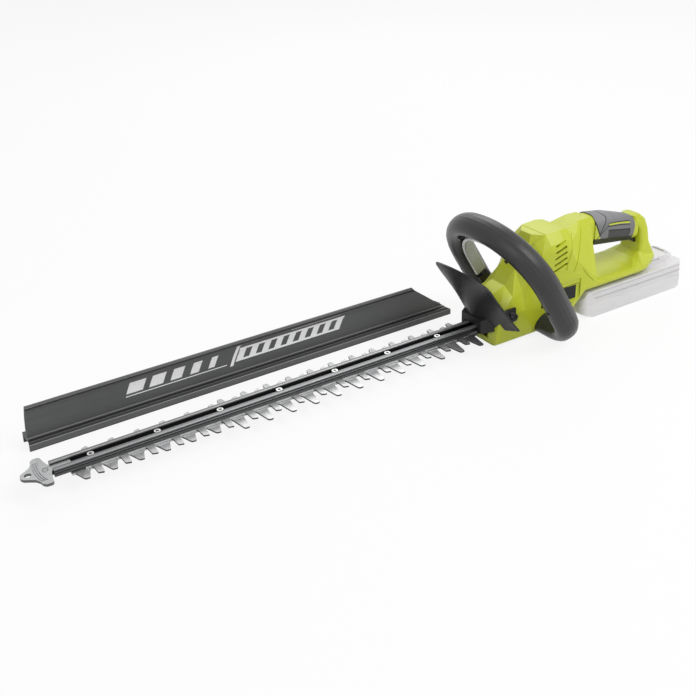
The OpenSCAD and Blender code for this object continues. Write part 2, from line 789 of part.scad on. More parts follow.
// Soft cover around the grip, with a slanted front edge
module grip_cover() {
    intersection() {
        difference() {
            for (i = [1:len(grip_rows) - 3]) hull() {
                grip_ring(grip_rows[i], -grip_t);
                grip_ring(grip_rows[i + 1], -grip_t);
            }
            for (i = [0:len(grip_rows) - 2]) hull() {
                grip_ring(grip_rows[i], -0.1);
                grip_ring(grip_rows[i + 1], -0.1);
            }
            box([trigger_x0 - 2, trigger_x1 + 2], [-trigger_y - 2, trigger_y + 2], [70, 108]);
        }
        side_cut([[-128, 150], [-136, 92], [-209, 80], [-217, 132]], -40, 40);
    }
}

module grip_left() {
    color([0.28, 0.28, 0.29]) left_half() grip_cover();
}

module grip_right() {
    color([0.28, 0.28, 0.29]) difference() {
        grip_cover();
        translate([-500, 0, -10]) cube([1000, 120, 300]);
    }
}

module side_plate() {
    color([0.08, 0.08, 0.08])
    translate([0, body_y - 0.2, 0]) rotate([90, 0, 0]) linear_extrude(1)
        offset(1) offset(-1) polygon([[-86, 42], [-24, 42], [-24, 62], [-86, 62]]);
}

module base_cover() {
    screw_x = cover_x1 - 6;
    color([0.7, 0.76, 0.16])
    difference() {
        slab(cover_x0, cover_x1, cover_y, 0, cover_t, 4);
        for (x = [cover_x0 + 6, screw_x]) for (s = [-1, 1]) {
            post(x, s * (cover_y - 6), -1, cover_t + 1, 2.1);
            post(x, s * (cover_y - 6), -1, 2.6, 4);
        }
    }
}

module base_screws() {
    color(metal)
    for (x = [cover_x0 + 6, cover_x1 - 6]) for (s = [-1, 1]) difference() {
        union() {
            post(x, s * (cover_y - 6), 0.6, cover_t + 0.0, 2);
            post(x, s * (cover_y - 6), 0.4, 2.6, 3.8);
        }
        translate([x, s * (cover_y - 6), -1]) cylinder(h = 2.4, r = 1.6, $fn = 6);
    }
}

module control_board() {
    color([0.1, 0.35, 0.2]) box([-120, -86], [-18, 18], [board_z, board_z + 1.6]);
    color([0.2, 0.2, 0.2])
    for (i = [0:2]) box([-116 + i * 10, -109 + i * 10], [-6, 6], [board_z + 1.6, board_z + 6]);
}

module terminal_block() {
    color([0.15, 0.15, 0.15]) difference() {
        box([pack_x0 - 26, pack_x0 - 12], [-18, 18], [rail_z0 + 1.5, pack_slot_z]);
        for (y = [-12, -4, 4, 12]) box([pack_x0 - 27, pack_x0 - 16], [y - 1.2, y + 1.2], [rail_z0, pack_slot_z - 3]);
    }
}

// ---------------------------------------------------------------- loop handle

// Height along the arms at which the front lever ends
arm_s = 80;

// Centre line of the loop in its own plane, from one foot over the crown to the other
elbow_turns = 5;
arch_turns = 14;
elbow_points = [for (i = [0:elbow_turns]) let (a = 90 * i / elbow_turns)
    [loop_y - elbow_r + elbow_r * sin(a), foot_s + elbow_r - elbow_r * cos(a)]];
arch_points = [for (i = [1:arch_turns]) let (a = 90 * i / arch_turns)
    [loop_y * pow(cos(a), 0.92), loop_spring + (loop_top - loop_spring) * pow(sin(a), 0.92)]];
half_line = concat([[foot_y, foot_s]], elbow_points, [[loop_y, arm_s]],
    [[loop_y, loop_spring]], [for (i = [0:arch_turns - 2]) arch_points[i]]);
loop_line = concat(half_line, [[0, loop_top]], [for (i = [len(half_line) - 1:-1:0]) [-half_line[i][0], half_line[i][1]]]);

// Unit vector along the loop at a point of its centre line
function loop_way(i) = let (a = loop_line[max(i - 1, 0)], b = loop_line[min(i + 1, len(loop_line) - 1)])
    (b - a) / norm(b - a);

// One ring of the tube: w across the tube outwards, n out of the plane
function tube_ring(i, shape) = let (t = loop_way(i), out = [t[1], -t[0]], c = loop_line[i])
    [for (p = shape) [p[1], c[0] + out[0] * p[0], c[1] + out[1] * p[0]]];

shell_sides = 10;
shell_wall = 2.6;
// Half of the tube's outline on one side of the loop's plane, with the hollow behind it
function half_tube(side) = concat(
    [for (i = [0:shell_sides]) let (a = 180 * i / shell_sides) [tube_wide * cos(a), side * tube_deep * sin(a)]],
    [for (i = [shell_sides:-2:0]) let (a = 180 * i / shell_sides)
        [(tube_wide - shell_wall) * cos(a), side * (tube_deep - shell_wall) * sin(a)]]
);

function ordered(points, side) = side > 0 ? points : [for (i = [len(points) - 1:-1:0]) points[i]];

module loop_half(side) {
    n = shell_sides + 1 + shell_sides / 2 + 1;
    flip = side < 0;
    // the foot ends are closed by patches between the outline and the hollow
    patches = [for (k = [0:2:shell_sides - 2]) let (i = n - 1 - k / 2)
        flip ? [n - 1 - i, n - i, n - 3 - k, n - 2 - k, n - 1 - k] : [k, k + 1, k + 2, i - 1, i]];
    difference() {
        loop_frame() swept([for (i = [0:len(loop_line) - 1]) tube_ring(i, ordered(half_tube(side), side))], patches);
        housing_sides();
    }
}

// Room between the feet, with the slope of the housing's sides
module housing_sides() {
    gap = 0.15;
    low = body_rows[4];
    half = [[body_y + gap, 60], [body_y + gap, low[6]], [low[9] + gap, low[8] + 3], [low[9] + gap, -20]];
    translate([-90, 0, 0]) rotate([90, 0, 90]) linear_extrude(120)
        polygon(concat(half, [for (i = [3:-1:0]) [-half[i][0], half[i][1]]]));
}

// Places of the screws that close the loop: y and height along the plane
loop_screws_at = [[0.5475 * loop_y, loop_spring + 0.7 * (loop_top - loop_spring)], [loop_y + 1.5, arm_s + 8]];

module loop_front() {
    color([0.24, 0.24, 0.25]) difference() {
        loop_half(1);
        for (p = loop_screws_at) for (s = [-1, 1]) loop_frame() translate([0, s * p[0], p[1]]) rotate([0, 90, 0])
            cylinder(h = 40, r = 2.8, $fn = 16);
    }
}

module loop_rear() {
    color([0.24, 0.24, 0.25]) difference() {
        loop_half(-1);
        loop_screw_shanks();
    }
}

// Shanks of the four screws that hold the loop's halves together
module loop_screw_shanks() {
    for (p = loop_screws_at) for (s = [-1, 1]) loop_frame() translate([0, s * p[0], p[1]]) rotate([0, 90, 0])
        translate([0, 0, shell_wall + 0.6 - tube_deep]) cylinder(h = 2 * tube_deep - 2 * shell_wall - 1.6, r = 1.8);
}

module loop_screws() {
    color(metal)
    for (p = loop_screws_at) for (s = [-1, 1]) loop_frame() translate([0, s * p[0], p[1]]) rotate([0, 90, 0])
        translate([0, 0, tube_deep - shell_wall - 1]) cylinder(h = 2, r = 2.7);
    color(metal) loop_screw_shanks();
}

// ---------------------------------------------------------------- front lever

lever_travel = 4;
lever_t = 5;
lever_n = 9;
lever_drop = lever_travel + play;

// Points of the loop's centre line that carry the lever
lever_ids = [for (i = [0:len(loop_line) - 1]) if (loop_line[i][1] >= arm_s) i];

// Ring of the lever on the inner side of the tube, lowered by its travel
function lever_ring(i) = let (t = loop_way(i), out = [t[1], -t[0]], c = loop_line[i] - [0, lever_drop],
    w1 = -tube_wide - play, w0 = w1 - lever_t, n = lever_n, r = 1.2)
    [for (p = [[w0, r - n], [w0 + r, -n], [w1, -n], [w1, n], [w0 + r, n], [w0, n - r]])
        [p[1], c[0] + out[0] * p[0], c[1] + out[1] * p[0]]];

module front_lever() {
    color([0.72, 0.73, 0.75]) loop_frame() swept([for (i = lever_ids) lever_ring(i)]);
}

lever_foot_s = loop_line[lever_ids[0]][1] - lever_drop - play;
lever_mid_y = loop_y - tube_wide - play - lever_t / 2;
spring_len = 6;

// Springs that push the lever back, standing on their feet at the loop's arms
module lever_springs() {
    color(metal)
    for (s = [-1, 1]) loop_frame() translate([0, s * lever_mid_y, lever_foot_s - spring_len])
        for (i = [0:3]) translate([0, 0, i * 1.5]) rotate_extrude($fn = 24) translate([1.6, 0]) square([0.7, 1.5]);
    color(dark)
    for (s = [-1, 1]) loop_frame() translate([-lever_n, s * lever_mid_y - 2.5, lever_foot_s - spring_len - 9])
        cube([2 * lever_n, 5, 9]);
}

module front_switch() {
    z = 54.4;
    color([0.12, 0.12, 0.12]) {
        box([12.4, 28], [-14, 6], [z, z + 9]);
        box([17, 23], [-6, -2], [z + 9, z + 11]);
    }
}

// ---------------------------------------------------------------- hand guard

guard_t = 3;
guard_top = [89, 110];
guard_foot = [28.5, 29];
guard_prow = 60;
// Levels of the shield: share of its height, half width
guard_levels = [[0, 52], [0.2, 54], [0.4, 55.5], [0.6, 56.3], [0.8, 56.8], [0.93, 56.3], [1, 52]];
guard_cols = 14;
tab_z = [43, 59];
tab_x = [25, 46];
collar_x = [50, 68];

// Point of the shield at level l and u from -1 to 1 across: swept back wings below, straight above
function guard_point(l, u, back) = let (v = l[0], prow = guard_prow - guard_foot[0])
    [(1 - v) * (guard_foot[0] + prow * (1 - pow(abs(u), 1.6))) + v * guard_top[0] + 10 * v * (1 - v) - back,
     l[1] * u,
     (1 - v) * guard_foot[1] + v * (guard_top[1] + 3 * (1 - u * u))];

module guard_shield() {
    n = guard_cols + 1;
    us = [for (i = [0:guard_cols]) 2 * i / guard_cols - 1];
    rings = [for (l = guard_levels) concat(
        [for (u = us) guard_point(l, -u, 0)],
        [for (u = us) guard_point(l, u, guard_t)])];
    swept(rings, [for (i = [0:n - 2]) each [[i, i + 1, 2 * n - 1 - i], [i + 1, 2 * n - 2 - i, 2 * n - 1 - i]]]);
}

module hand_guard() {
    mouth_y = bar_w / 2 + 2.5;
    color([0.15, 0.15, 0.16])
    difference() {
        union() {
            guard_shield();
            // skirt that narrows towards the bar
            hull() {
                box([collar_x[0], collar_x[0] + 0.5], [-28, 28], [26, 50]);
                box([collar_x[1] - 4, collar_x[1]], [-mouth_y - 7, mouth_y + 7], [bar_z + 1, 43]);
            }
            // tabs screwed to the sides of the housing
            for (s = [-1, 1]) scale([1, s, 1]) box(tab_x, [body_y + 0.2, body_y + 3.4], tab_z);
            for (s = [-1, 1]) scale([1, s, 1]) box([tab_x[1] - 4, tab_x[1] + 1], [body_y + 0.2, 44], tab_z);
        }
        box([0, 120], [-mouth_y, mouth_y], [8, bar_z + bar_h + 1]);
        // room for the nose of the housing
        box([0, body_rows[0][0] + 0.5], [-body_y - 0.2, body_y + 0.2], [0, 78]);
        for (s = [-1, 1]) translate([tab_x[0] + 7, s * (body_y - 1), tab_z[0] + 8]) rotate([-s * 90, 0, 0])
            cylinder(h = 8, r = 2.1);
    }
}

module guard_screws() {
    color(metal)
    for (s = [-1, 1]) translate([tab_x[0] + 7, s * (body_y + 3.4), tab_z[0] + 8]) rotate([-s * 90, 0, 0]) difference() {
        union() {
            translate([0, 0, -3.2]) cylinder(h = 3.3, r = 2);
            cylinder(h = 2, r1 = 4, r2 = 3.2);
        }
        translate([0, 0, 0.8]) cylinder(h = 3, r = 1.6, $fn = 6);
    }
}

// ---------------------------------------------------------------- rear trigger

trigger_x0 = -231;
trigger_x1 = -134;
trigger_y = 8;
trigger_pivot = [-141, 103];
trigger_pin_r = 2;
pin_y = 11;
trigger_angle = 5;

module trigger() {
    bulb = [-228, 84.5];
    color([0.1, 0.1, 0.1])
    difference() {
        union() {
            side_cut([[-137, 107], [-135, 101], [-138, 97], [-176, 92], [-214, 87], [-224, 83],
                [-226, 89], [-216, 95], [-205, 101], [-180, 104]], -trigger_y, trigger_y);
            translate([bulb[0], trigger_y, bulb[1]]) rotate([90, 0, 0]) cylinder(h = 2 * trigger_y, r = 4);
        }
        translate([trigger_pivot[0], 20, trigger_pivot[1]]) rotate([90, 0, 0])
            cylinder(h = 40, r = trigger_pin_r + run_gap);
    }
}

module trigger_pin() {
    color(metal) translate([trigger_pivot[0], pin_y, trigger_pivot[1]]) rotate([90, 0, 0])
        cylinder(h = 2 * pin_y, r = trigger_pin_r);
}

switch_x = -178;

module rear_switch() {
    color([0.12, 0.12, 0.12]) {
        box([switch_x - 14, switch_x + 14], [-7, 7], [112, 125]);
        box([switch_x - 10, switch_x + 10], [-13.5, 13.5], [115, 122]);
        post(switch_x, 0, 108.2, 112, 2.5);
    }
}

module trigger_spring() {
    x = switch_x + 20;
    color(metal)
    for (i = [0:4]) translate([x, 0, 106 + i * 2]) rotate_extrude($fn = 24) translate([2.6, 0]) square([0.9, 2]);
}

// ---------------------------------------------------------------- battery

pack_x1 = pack_x0 - battery_len;
pack_tail = 26;
pack_split = 20;
pack_head_y = 22;
pack_head_z = 52.5;
pack_wall = 2.2;

// Plan of the battery case grown by g: square front, rounded tail
module pack_plan(g) {
    offset(g) intersection() {
        translate([pack_x1 - pack_tail, -battery_y]) offset(10) offset(-10) square([battery_len + pack_tail, 2 * battery_y]);
        translate([pack_x1 + 20, 0]) scale([1, 1]) union() {
            circle(pack_tail + 22, $fn = 96);
            translate([0, -60]) square([battery_len, 120]);
        }
    }
}

// Side outline of the battery case with its rounded front and tail
module pack_side(g) {
    translate([0, 60, 0]) rotate([90, 0, 0]) linear_extrude(120) offset(g) offset(8) offset(-8) polygon([
        [pack_x0 - 9, battery_h], [pack_x0 + 7, 18], [pack_x0, 9], [pack_x0 - 22, 0],
        [pack_x1 - 4, 0], [pack_x1 - 20, 8], [pack_x1 - pack_tail, 24], [pack_x1 - pack_tail, battery_h]
    ]);
}

module pack_case(g) {
    intersection() {
        translate([0, 0, -1]) linear_extrude(80) pack_plan(g);
        pack_side(g);
    }
}

module battery_lower() {
    color([0.85, 0.85, 0.86])
    difference() {
        intersection() {
            pack_case(0);
            translate([-400, -60, -1]) cube([400, 120, pack_split + 1]);
        }
        pack_case(-pack_wall);
    }
}

module battery_upper() {
    ledge = 1;
    color([0.88, 0.88, 0.89])
    difference() {
        union() {
            intersection() {
                pack_case(-ledge);
                translate([-400, -60, pack_split]) cube([400, 120, battery_h - pack_split]);
            }
            intersection() {
                pack_case(-ledge);
                translate([-400, -60, battery_h - 4]) cube([400, 120, 3]);
            }
            // head that slides into the housing
            slab(pack_x1 + 6, pack_x0 - 14, pack_head_y, battery_h - 3, pack_head_z, 3);
            // raised tail with the latch
            slab(pack_x1 - 12, pack_x1 + 9, 18, battery_h - 3, 48, 4);
        }
        difference() {
            pack_case(-ledge - pack_wall);
            translate([-400, -60, battery_h - 3.2]) cube([400, 120, 20]);
        }
        // grooves along the head, and slots for the terminals
        for (s = [-1, 1]) scale([1, s, 1]) box([pack_x1 + 20, pack_x0], [pack_head_y - 2, 30], [46.6, 49.4]);
        box([pack_x0 - 27, pack_x0], [-18.5, 18.5], [rail_z0 + 1, 70]);
        contact_blades();
        // well of the latch
        box([latch_x - 6.3, latch_x + 6.3], [-12.3, 12.3], [latch_z, 70]);
    }
}

latch_x = pack_x1 - 2;
latch_z = battery_h + 1;
latch_travel = 3;

module battery_latch() {
    color([0.8, 0.8, 0.81])
    difference() {
        union() {
            translate([0, 12, 0]) rotate([90, 0, 0]) linear_extrude(24) offset(1) offset(-1) polygon([
                [latch_x - 6, latch_z + 5], [latch_x + 6, latch_z + 5], [latch_x + 6, latch_z + 8],
                [latch_x, latch_z + 10], [latch_x - 6, latch_z + 9]
            ]);
        }
        for (i = [0:2]) translate([latch_x - 5 + i * 4, -9, latch_z + 8.6]) cube([1.2, 18, 4]);
    }
}

module latch_spring() {
    color(metal)
    for (i = [0:2]) translate([latch_x, 0, latch_z + i * 1.5]) rotate_extrude($fn = 24) translate([3, 0]) square([0.8, 1.5]);
}

module battery_cells() {
    cell_r = 9;
    rows = 8;
    step = (battery_len - 50) / (rows - 1);
    color([0.3, 0.5, 0.6])
    for (i = [0:rows - 1]) translate([pack_x0 - 40 - i * min(step, 18.6), 32.5, pack_wall + cell_r + 0.1]) rotate([90, 0, 0])
        cylinder(h = 65, r = cell_r);
}

module battery_contacts() {
    color([0.8, 0.6, 0.3]) contact_blades();
}

module contact_blades() {
    for (y = [-12, -4, 4, 12]) box([pack_x0 - 34, pack_x0 - 22], [y - 0.6, y + 0.6], [battery_h - 4, pack_head_z - 3.5]);
}

// ---------------------------------------------------------------- debris sweep

sweep_gap = 0.6;
leg_h = 11;
sweep_t = 2.2;

// Section of the sweep: a clip that straddles the bar and a hollow-faced sheet on its near side
module sweep_section() {
    inner = bar_w / 2 + sweep_gap;
    mid = sweep_y + 7 - inner - sweep_t;
    near = mid + inner;
    foot = sweep_y;
    // clip
    translate([mid - inner - sweep_t, 0]) square([sweep_t, leg_h]);
    translate([near, 0]) square([sweep_t, leg_h]);
    translate([mid - inner - sweep_t, leg_h - 0.01]) square([2 * (inner + sweep_t), sweep_t]);
    for (s = [-1, 1]) translate([mid + s * (inner - 0.2), 1.6]) circle(0.8, $fn = 16);
    // sheet, leaning out at its top
    steps = 10;
    rise = [for (i = [0:steps]) let (f = i / steps) [foot + 12 * f * f, leg_h + 1 + (sweep_h - leg_h - 1) * f]];
    polygon(concat(rise, [for (i = [steps:-1:0]) [rise[i][0] - sweep_t, rise[i][1]]]));
    // step at its foot and double bead along its top
    translate([foot - 0.5, leg_h + 1]) square([3.4, 2.4]);
    for (d = [0, 5]) translate([foot + 12 - d * 0.45 - 0.6, sweep_h - 1.4 - d]) circle(1.9, $fn = 20);
}

module sweep_panel() {
    x1 = 651;
    x0 = x1 - sweep_len;
    color([0.25, 0.25, 0.26])
    intersection() {
        translate([x0, 0, 0]) rotate([90, 0, 90]) linear_extrude(sweep_len) sweep_section();
        side_cut([[x1, -1], [x1 - 3, sweep_h + 2], [x0 + 74, sweep_h + 2], [x0 + 66, sweep_h - 6], [x0 + 10, 14], [x0, 8], [x0, -1]],
            -200, 0);
    }
}

// ---------------------------------------------------------------- nodes

housing_left();
housing_right();
housing_screws();
grip_left();
grip_right();
side_plate();
base_cover();
base_screws();
gearcase_lower();
gearcase_lid();
crank_bearing_upper();
crank_bearing_lower();
drive_gear();
eccentric_shaft();
motor_can();
motor_cap();
motor_rotor();
motor_pinion();
cooling_fan();
motor_bearings();
control_board();
terminal_block();
blade_bar();
bar_screws();
bar_bushes();
bar_nuts();
blade_upper();
blade_lower();
tip_guard();
tip_screw();
hand_guard();
guard_screws();
loop_front();
loop_rear();
loop_screws();
front_lever();
lever_springs();
front_switch();
trigger();
trigger_pin();
trigger_spring();
rear_switch();
battery_lower();
battery_upper();
battery_cells();
battery_contacts();
battery_latch();
latch_spring();
sweep_panel();
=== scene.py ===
"""Looks of the cordless hedge trimmer: finishes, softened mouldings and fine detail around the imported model.

Lengths are metres in the model's own frame: +X runs to the blade tip, +Y is the tool's left, +Z is up.
"""

import json
import math

import bmesh
import bpy
import numpy as np
from mathutils import Matrix, Vector


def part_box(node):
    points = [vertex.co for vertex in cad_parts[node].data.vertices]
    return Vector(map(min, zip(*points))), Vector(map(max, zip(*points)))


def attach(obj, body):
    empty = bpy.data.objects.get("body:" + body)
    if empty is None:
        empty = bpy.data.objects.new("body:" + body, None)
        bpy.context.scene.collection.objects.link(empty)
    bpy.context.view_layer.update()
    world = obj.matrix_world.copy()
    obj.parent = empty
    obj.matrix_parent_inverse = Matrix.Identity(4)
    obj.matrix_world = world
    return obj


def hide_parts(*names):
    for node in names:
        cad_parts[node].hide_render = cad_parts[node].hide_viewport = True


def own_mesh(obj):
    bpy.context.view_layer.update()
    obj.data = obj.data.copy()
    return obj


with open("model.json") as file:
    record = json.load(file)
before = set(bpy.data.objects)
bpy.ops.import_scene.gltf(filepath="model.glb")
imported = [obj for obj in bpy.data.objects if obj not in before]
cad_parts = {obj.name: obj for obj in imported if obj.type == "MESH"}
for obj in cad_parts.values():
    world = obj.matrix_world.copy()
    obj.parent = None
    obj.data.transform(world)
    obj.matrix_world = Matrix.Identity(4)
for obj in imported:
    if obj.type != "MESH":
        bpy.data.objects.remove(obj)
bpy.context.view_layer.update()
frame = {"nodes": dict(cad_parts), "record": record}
MM = 0.001
BODY_OF = {n: body for body, ns in frame["record"]["behaviour"]["bodies"].items() for n in ns}
SLOT_OF = {part["node"]: part["material_slot"] for part in frame["record"]["subparts"]}


# ---------------------------------------------------------------- camera, floor and light


def make_camera():
    """Stands the camera off the tool's left, ahead of its handle, and looks down on it."""
    place = Vector((0.8446, 0.9613, 0.6511))
    right = Vector((-0.84502, 0.53347, -0.03776)).normalized()
    back = Vector((0.45670, 0.75650, 0.46810)).normalized()
    up = back.cross(right).normalized()
    right = up.cross(back).normalized()
    data = bpy.data.cameras.new("studio_camera")
    data.sensor_width = 36.0
    data.lens = 52.3137931
    data.clip_start, data.clip_end = 0.05, 50
    camera = bpy.data.objects.new("studio_camera", data)
    bpy.context.scene.collection.objects.link(camera)
    turn = Matrix((right, up, back)).transposed()
    camera.matrix_world = Matrix.Translation(place) @ turn.to_4x4()
    bpy.context.scene.camera = camera


def area_light(name, place, aim, size, power):
    """Hangs one square softbox at a place, facing a point."""
    data = bpy.data.lights.new(name, "AREA")
    data.shape, data.size, data.energy = "SQUARE", size, power
    lamp = bpy.data.objects.new(name, data)
    lamp.location = place
    lamp.rotation_mode = "QUATERNION"
    lamp.rotation_quaternion = (Vector(aim) - Vector(place)).to_track_quat("-Z", "Y")
    bpy.context.scene.collection.objects.link(lamp)


def white_to_the_camera(tree):
    """Factor that is 1 for rays from the camera, from gloss and through glass, and 0 for light itself."""
    path = tree.nodes.new("ShaderNodeLightPath")
    seen = tree.nodes.new("ShaderNodeMath")
    seen.operation, seen.use_clamp = "ADD", True
    more = tree.nodes.new("ShaderNodeMath")
    more.operation, more.use_clamp = "ADD", True
    tree.links.new(path.outputs["Is Camera Ray"], seen.inputs[0])
    tree.links.new(path.outputs["Is Glossy Ray"], seen.inputs[1])
    tree.links.new(seen.outputs[0], more.inputs[0])
    tree.links.new(path.outputs["Is Transmission Ray"], more.inputs[1])
    return more.outputs[0]


def make_world():
    """Lights the world a plain soft grey, and shows it white to the camera."""
    world = bpy.data.worlds.new("soft_sky")
    bpy.context.scene.world = world
    world.use_nodes = True
    tree = world.node_tree
    tree.nodes.clear()
    light = tree.nodes.new("ShaderNodeBackground")
    light.inputs["Color"].default_value = (1.0, 1.0, 1.0, 1)
    light.inputs["Strength"].default_value = 0.5
    shown = tree.nodes.new("ShaderNodeBackground")
    shown.inputs["Color"].default_value = (1, 1, 1, 1)
    shown.inputs["Strength"].default_value = 1.0
    mix = tree.nodes.new("ShaderNodeMixShader")
    out = tree.nodes.new("ShaderNodeOutputWorld")
    tree.links.new(white_to_the_camera(tree), mix.inputs["Fac"])
    tree.links.new(light.outputs[0], mix.inputs[1])
    tree.links.new(shown.outputs[0], mix.inputs[2])
    tree.links.new(mix.outputs[0], out.inputs["Surface"])


def make_floor():
    """Lays a wide pale floor that reads white to the camera and keeps the tool's soft shadow."""
    half = 9.0
    white_share = 0.86
    corners = [(-half, -half, 0), (half, -half, 0), (half, half, 0), (-half, half, 0)]
    data = bpy.data.meshes.new("floor")
    data.from_pydata(corners, [], [(0, 1, 2, 3)])
    floor = bpy.data.objects.new("floor", data)
    bpy.context.scene.collection.objects.link(floor)
    material = bpy.data.materials.new("pale_floor")
    material.use_nodes = True
    tree = material.node_tree
    matt = tree.nodes["Principled BSDF"]
    matt.inputs["Base Color"].default_value = (0.88, 0.88, 0.88, 1)
    matt.inputs["Roughness"].default_value = 0.7
    matt.inputs["Specular IOR Level"].default_value = 0.1
    glow = tree.nodes.new("ShaderNodeEmission")
    glow.inputs["Strength"].default_value = 1.0
    share = tree.nodes.new("ShaderNodeMath")
    share.operation = "MULTIPLY"
    share.inputs[1].default_value = white_share
    mix = tree.nodes.new("ShaderNodeMixShader")
    tree.links.new(white_to_the_camera(tree), share.inputs[0])
    tree.links.new(share.outputs[0], mix.inputs["Fac"])
    tree.links.new(matt.outputs[0], mix.inputs[1])
    tree.links.new(glow.outputs[0], mix.inputs[2])
    tree.links.new(mix.outputs[0], tree.nodes["Material Output"].inputs["Surface"])
    data.materials.append(material)


bpy.context.scene.view_settings.view_transform = "Standard"
make_camera()
make_world()
make_floor()
area_light("key_softbox", place=(-1.0, 1.5, 2.3), aim=(0.05, 0, 0.05), size=1.6, power=46)
area_light("side_softbox", place=(2.2, 0.9, 1.5), aim=(0.2, 0, 0.05), size=1.4, power=9)
area_light("back_softbox", place=(-1.0, -1.7, 1.6), aim=(0, 0, 0.05), size=1.4, power=12)


# ---------------------------------------------------------------- finishes


class Finish:
    """A node material that starts as one Principled shader on Object coordinates."""

    def __init__(self, name, colour, rough, metallic=0.0, specular=0.5):
        self.material = bpy.data.materials.new(name)
        self.material.use_nodes = True
        self.tree = self.material.node_tree
        self.shader = self.tree.nodes["Principled BSDF"]
        self.shader.inputs["Base Color"].default_value = (*colour, 1)
        self.shader.inputs["Roughness"].default_value = rough
        self.shader.inputs["Metallic"].default_value = metallic
        self.shader.inputs["Specular IOR Level"].default_value = specular
        self.colour = colour
        places = self.tree.nodes.new("ShaderNodeTexCoord")
        self.where, self.facing = places.outputs["Object"], places.outputs["Normal"]
        self.normal = None

    def stretched(self, scale):
        """Object coordinates scaled differently along each axis."""
        node = self.tree.nodes.new("ShaderNodeMapping")
        node.inputs["Scale"].default_value = scale
        self.tree.links.new(self.where, node.inputs["Vector"])
        return node.outputs[0]

    def noise(self, scale, detail=3.0, rough=0.55, along=None):
        """Noise in features per metre."""
        node = self.tree.nodes.new("ShaderNodeTexNoise")
        node.inputs["Scale"].default_value = scale
        node.inputs["Detail"].default_value = detail
        node.inputs["Roughness"].default_value = rough
        self.tree.links.new(along or self.where, node.inputs["Vector"])
        return node.outputs["Fac"]

    def ramp(self, fac, start, full):
        """0 where a value lies under start, 1 over full, and a straight slope between."""
        node = self.tree.nodes.new("ShaderNodeValToRGB")
        self.tree.links.new(fac, node.inputs[0])
        low, high = node.color_ramp.elements
        low.position, low.color = start, (0, 0, 0, 1)
        high.position, high.color = full, (1, 1, 1, 1)
        return node.outputs[0]

    def math(self, kind, a, b=0.0):
        """One Math node on sockets or numbers. A kind with one operand ignores b."""
        node = self.tree.nodes.new("ShaderNodeMath")
        node.operation = kind
        for i, v in enumerate((a, b)):
            if isinstance(v, (int, float)):
                node.inputs[i].default_value = v
            else:
                self.tree.links.new(v, node.inputs[i])
        return node.outputs[0]

    def across(self, axis):
        """One Object coordinate, in millimetres."""
        split = self.tree.nodes.new("ShaderNodeSeparateXYZ")
        self.tree.links.new(self.where, split.inputs[0])
        return self.math("MULTIPLY", split.outputs[axis], 1000.0)

    def faced(self, axis):
        """How far a face looks along one axis of the object, from -1 to 1."""
        split = self.tree.nodes.new("ShaderNodeSeparateXYZ")
        self.tree.links.new(self.facing, split.inputs[0])
        return split.outputs[axis]

    def smooth(self, value, low, high):
        """0 where a value lies under low, 1 over high, and a smooth step between."""
        node = self.tree.nodes.new("ShaderNodeMapRange")
        node.interpolation_type = "SMOOTHSTEP"
        node.inputs["From Min"].default_value = low
        node.inputs["From Max"].default_value = high
        self.tree.links.new(value, node.inputs["Value"])
        return node.outputs[0]

    def between(self, value, low, high, soft=0.3):
        """1 where a value lies between low and high."""
        return self.math("MINIMUM", self.smooth(value, low - soft, low), self.below(value, high, soft))

    def below(self, value, high, soft=0.3):
        """1 where a value lies under high."""
        return self.math("SUBTRACT", 1.0, self.smooth(value, high, high + soft))

    def both(self, *masks):
        """1 where every mask is 1."""
        out = masks[0]
        for mask in masks[1:]:
            out = self.math("MULTIPLY", out, mask)
        return out

    def either(self, *masks):
        """1 where any mask is 1."""
        out = masks[0]
        for mask in masks[1:]:
            out = self.math("MAXIMUM", out, mask)
        return out

    def tint(self, fac, colour, strength=1.0):
        """Lays another colour over the base where fac is high."""
        node = self.tree.nodes.new("ShaderNodeMix")
        node.data_type = "RGBA"
        if strength != 1.0:
            fac = self.math("MULTIPLY", fac, strength)
        self.tree.links.new(fac, node.inputs["Factor"])
        base = self.shader.inputs["Base Color"]
        if base.is_linked:
            self.tree.links.new(base.links[0].from_socket, node.inputs["A"])
        else:
            node.inputs["A"].default_value = (*self.colour, 1)
        node.inputs["B"].default_value = (*colour, 1)
        self.tree.links.new(node.outputs["Result"], base)
        return self

    def roughen(self, fac, low, high):
        """Lets roughness run from low to high with fac."""
        node = self.tree.nodes.new("ShaderNodeMapRange")
        node.inputs["To Min"].default_value = low
        node.inputs["To Max"].default_value = high
        self.tree.links.new(fac, node.inputs["Value"])
        self.tree.links.new(node.outputs[0], self.shader.inputs["Roughness"])
        return self

    def bump(self, height, depth, strength=1.0):
        """Adds one bump layer of a depth in metres."""
        node = self.tree.nodes.new("ShaderNodeBump")
        node.inputs["Strength"].default_value = strength
        node.inputs["Distance"].default_value = depth
        self.tree.links.new(height, node.inputs["Height"])
        if self.normal is not None:
            self.tree.links.new(self.normal, node.inputs["Normal"])
        self.normal = node.outputs[0]
        self.tree.links.new(self.normal, self.shader.inputs["Normal"])
        return self


# Noise scales that several finishes share, in features per metre
GRAIN = 1900
SHEEN = 420
# Near black for painted shade in the bar's grooves, the screw sockets and the sweep's channel, and for the
# grip's dark seams
GROOVE_DARK = (0.012, 0.012, 0.013)


def scaled(colour, share):
    """A colour with each channel multiplied by a share."""
    return tuple(c * share for c in colour)


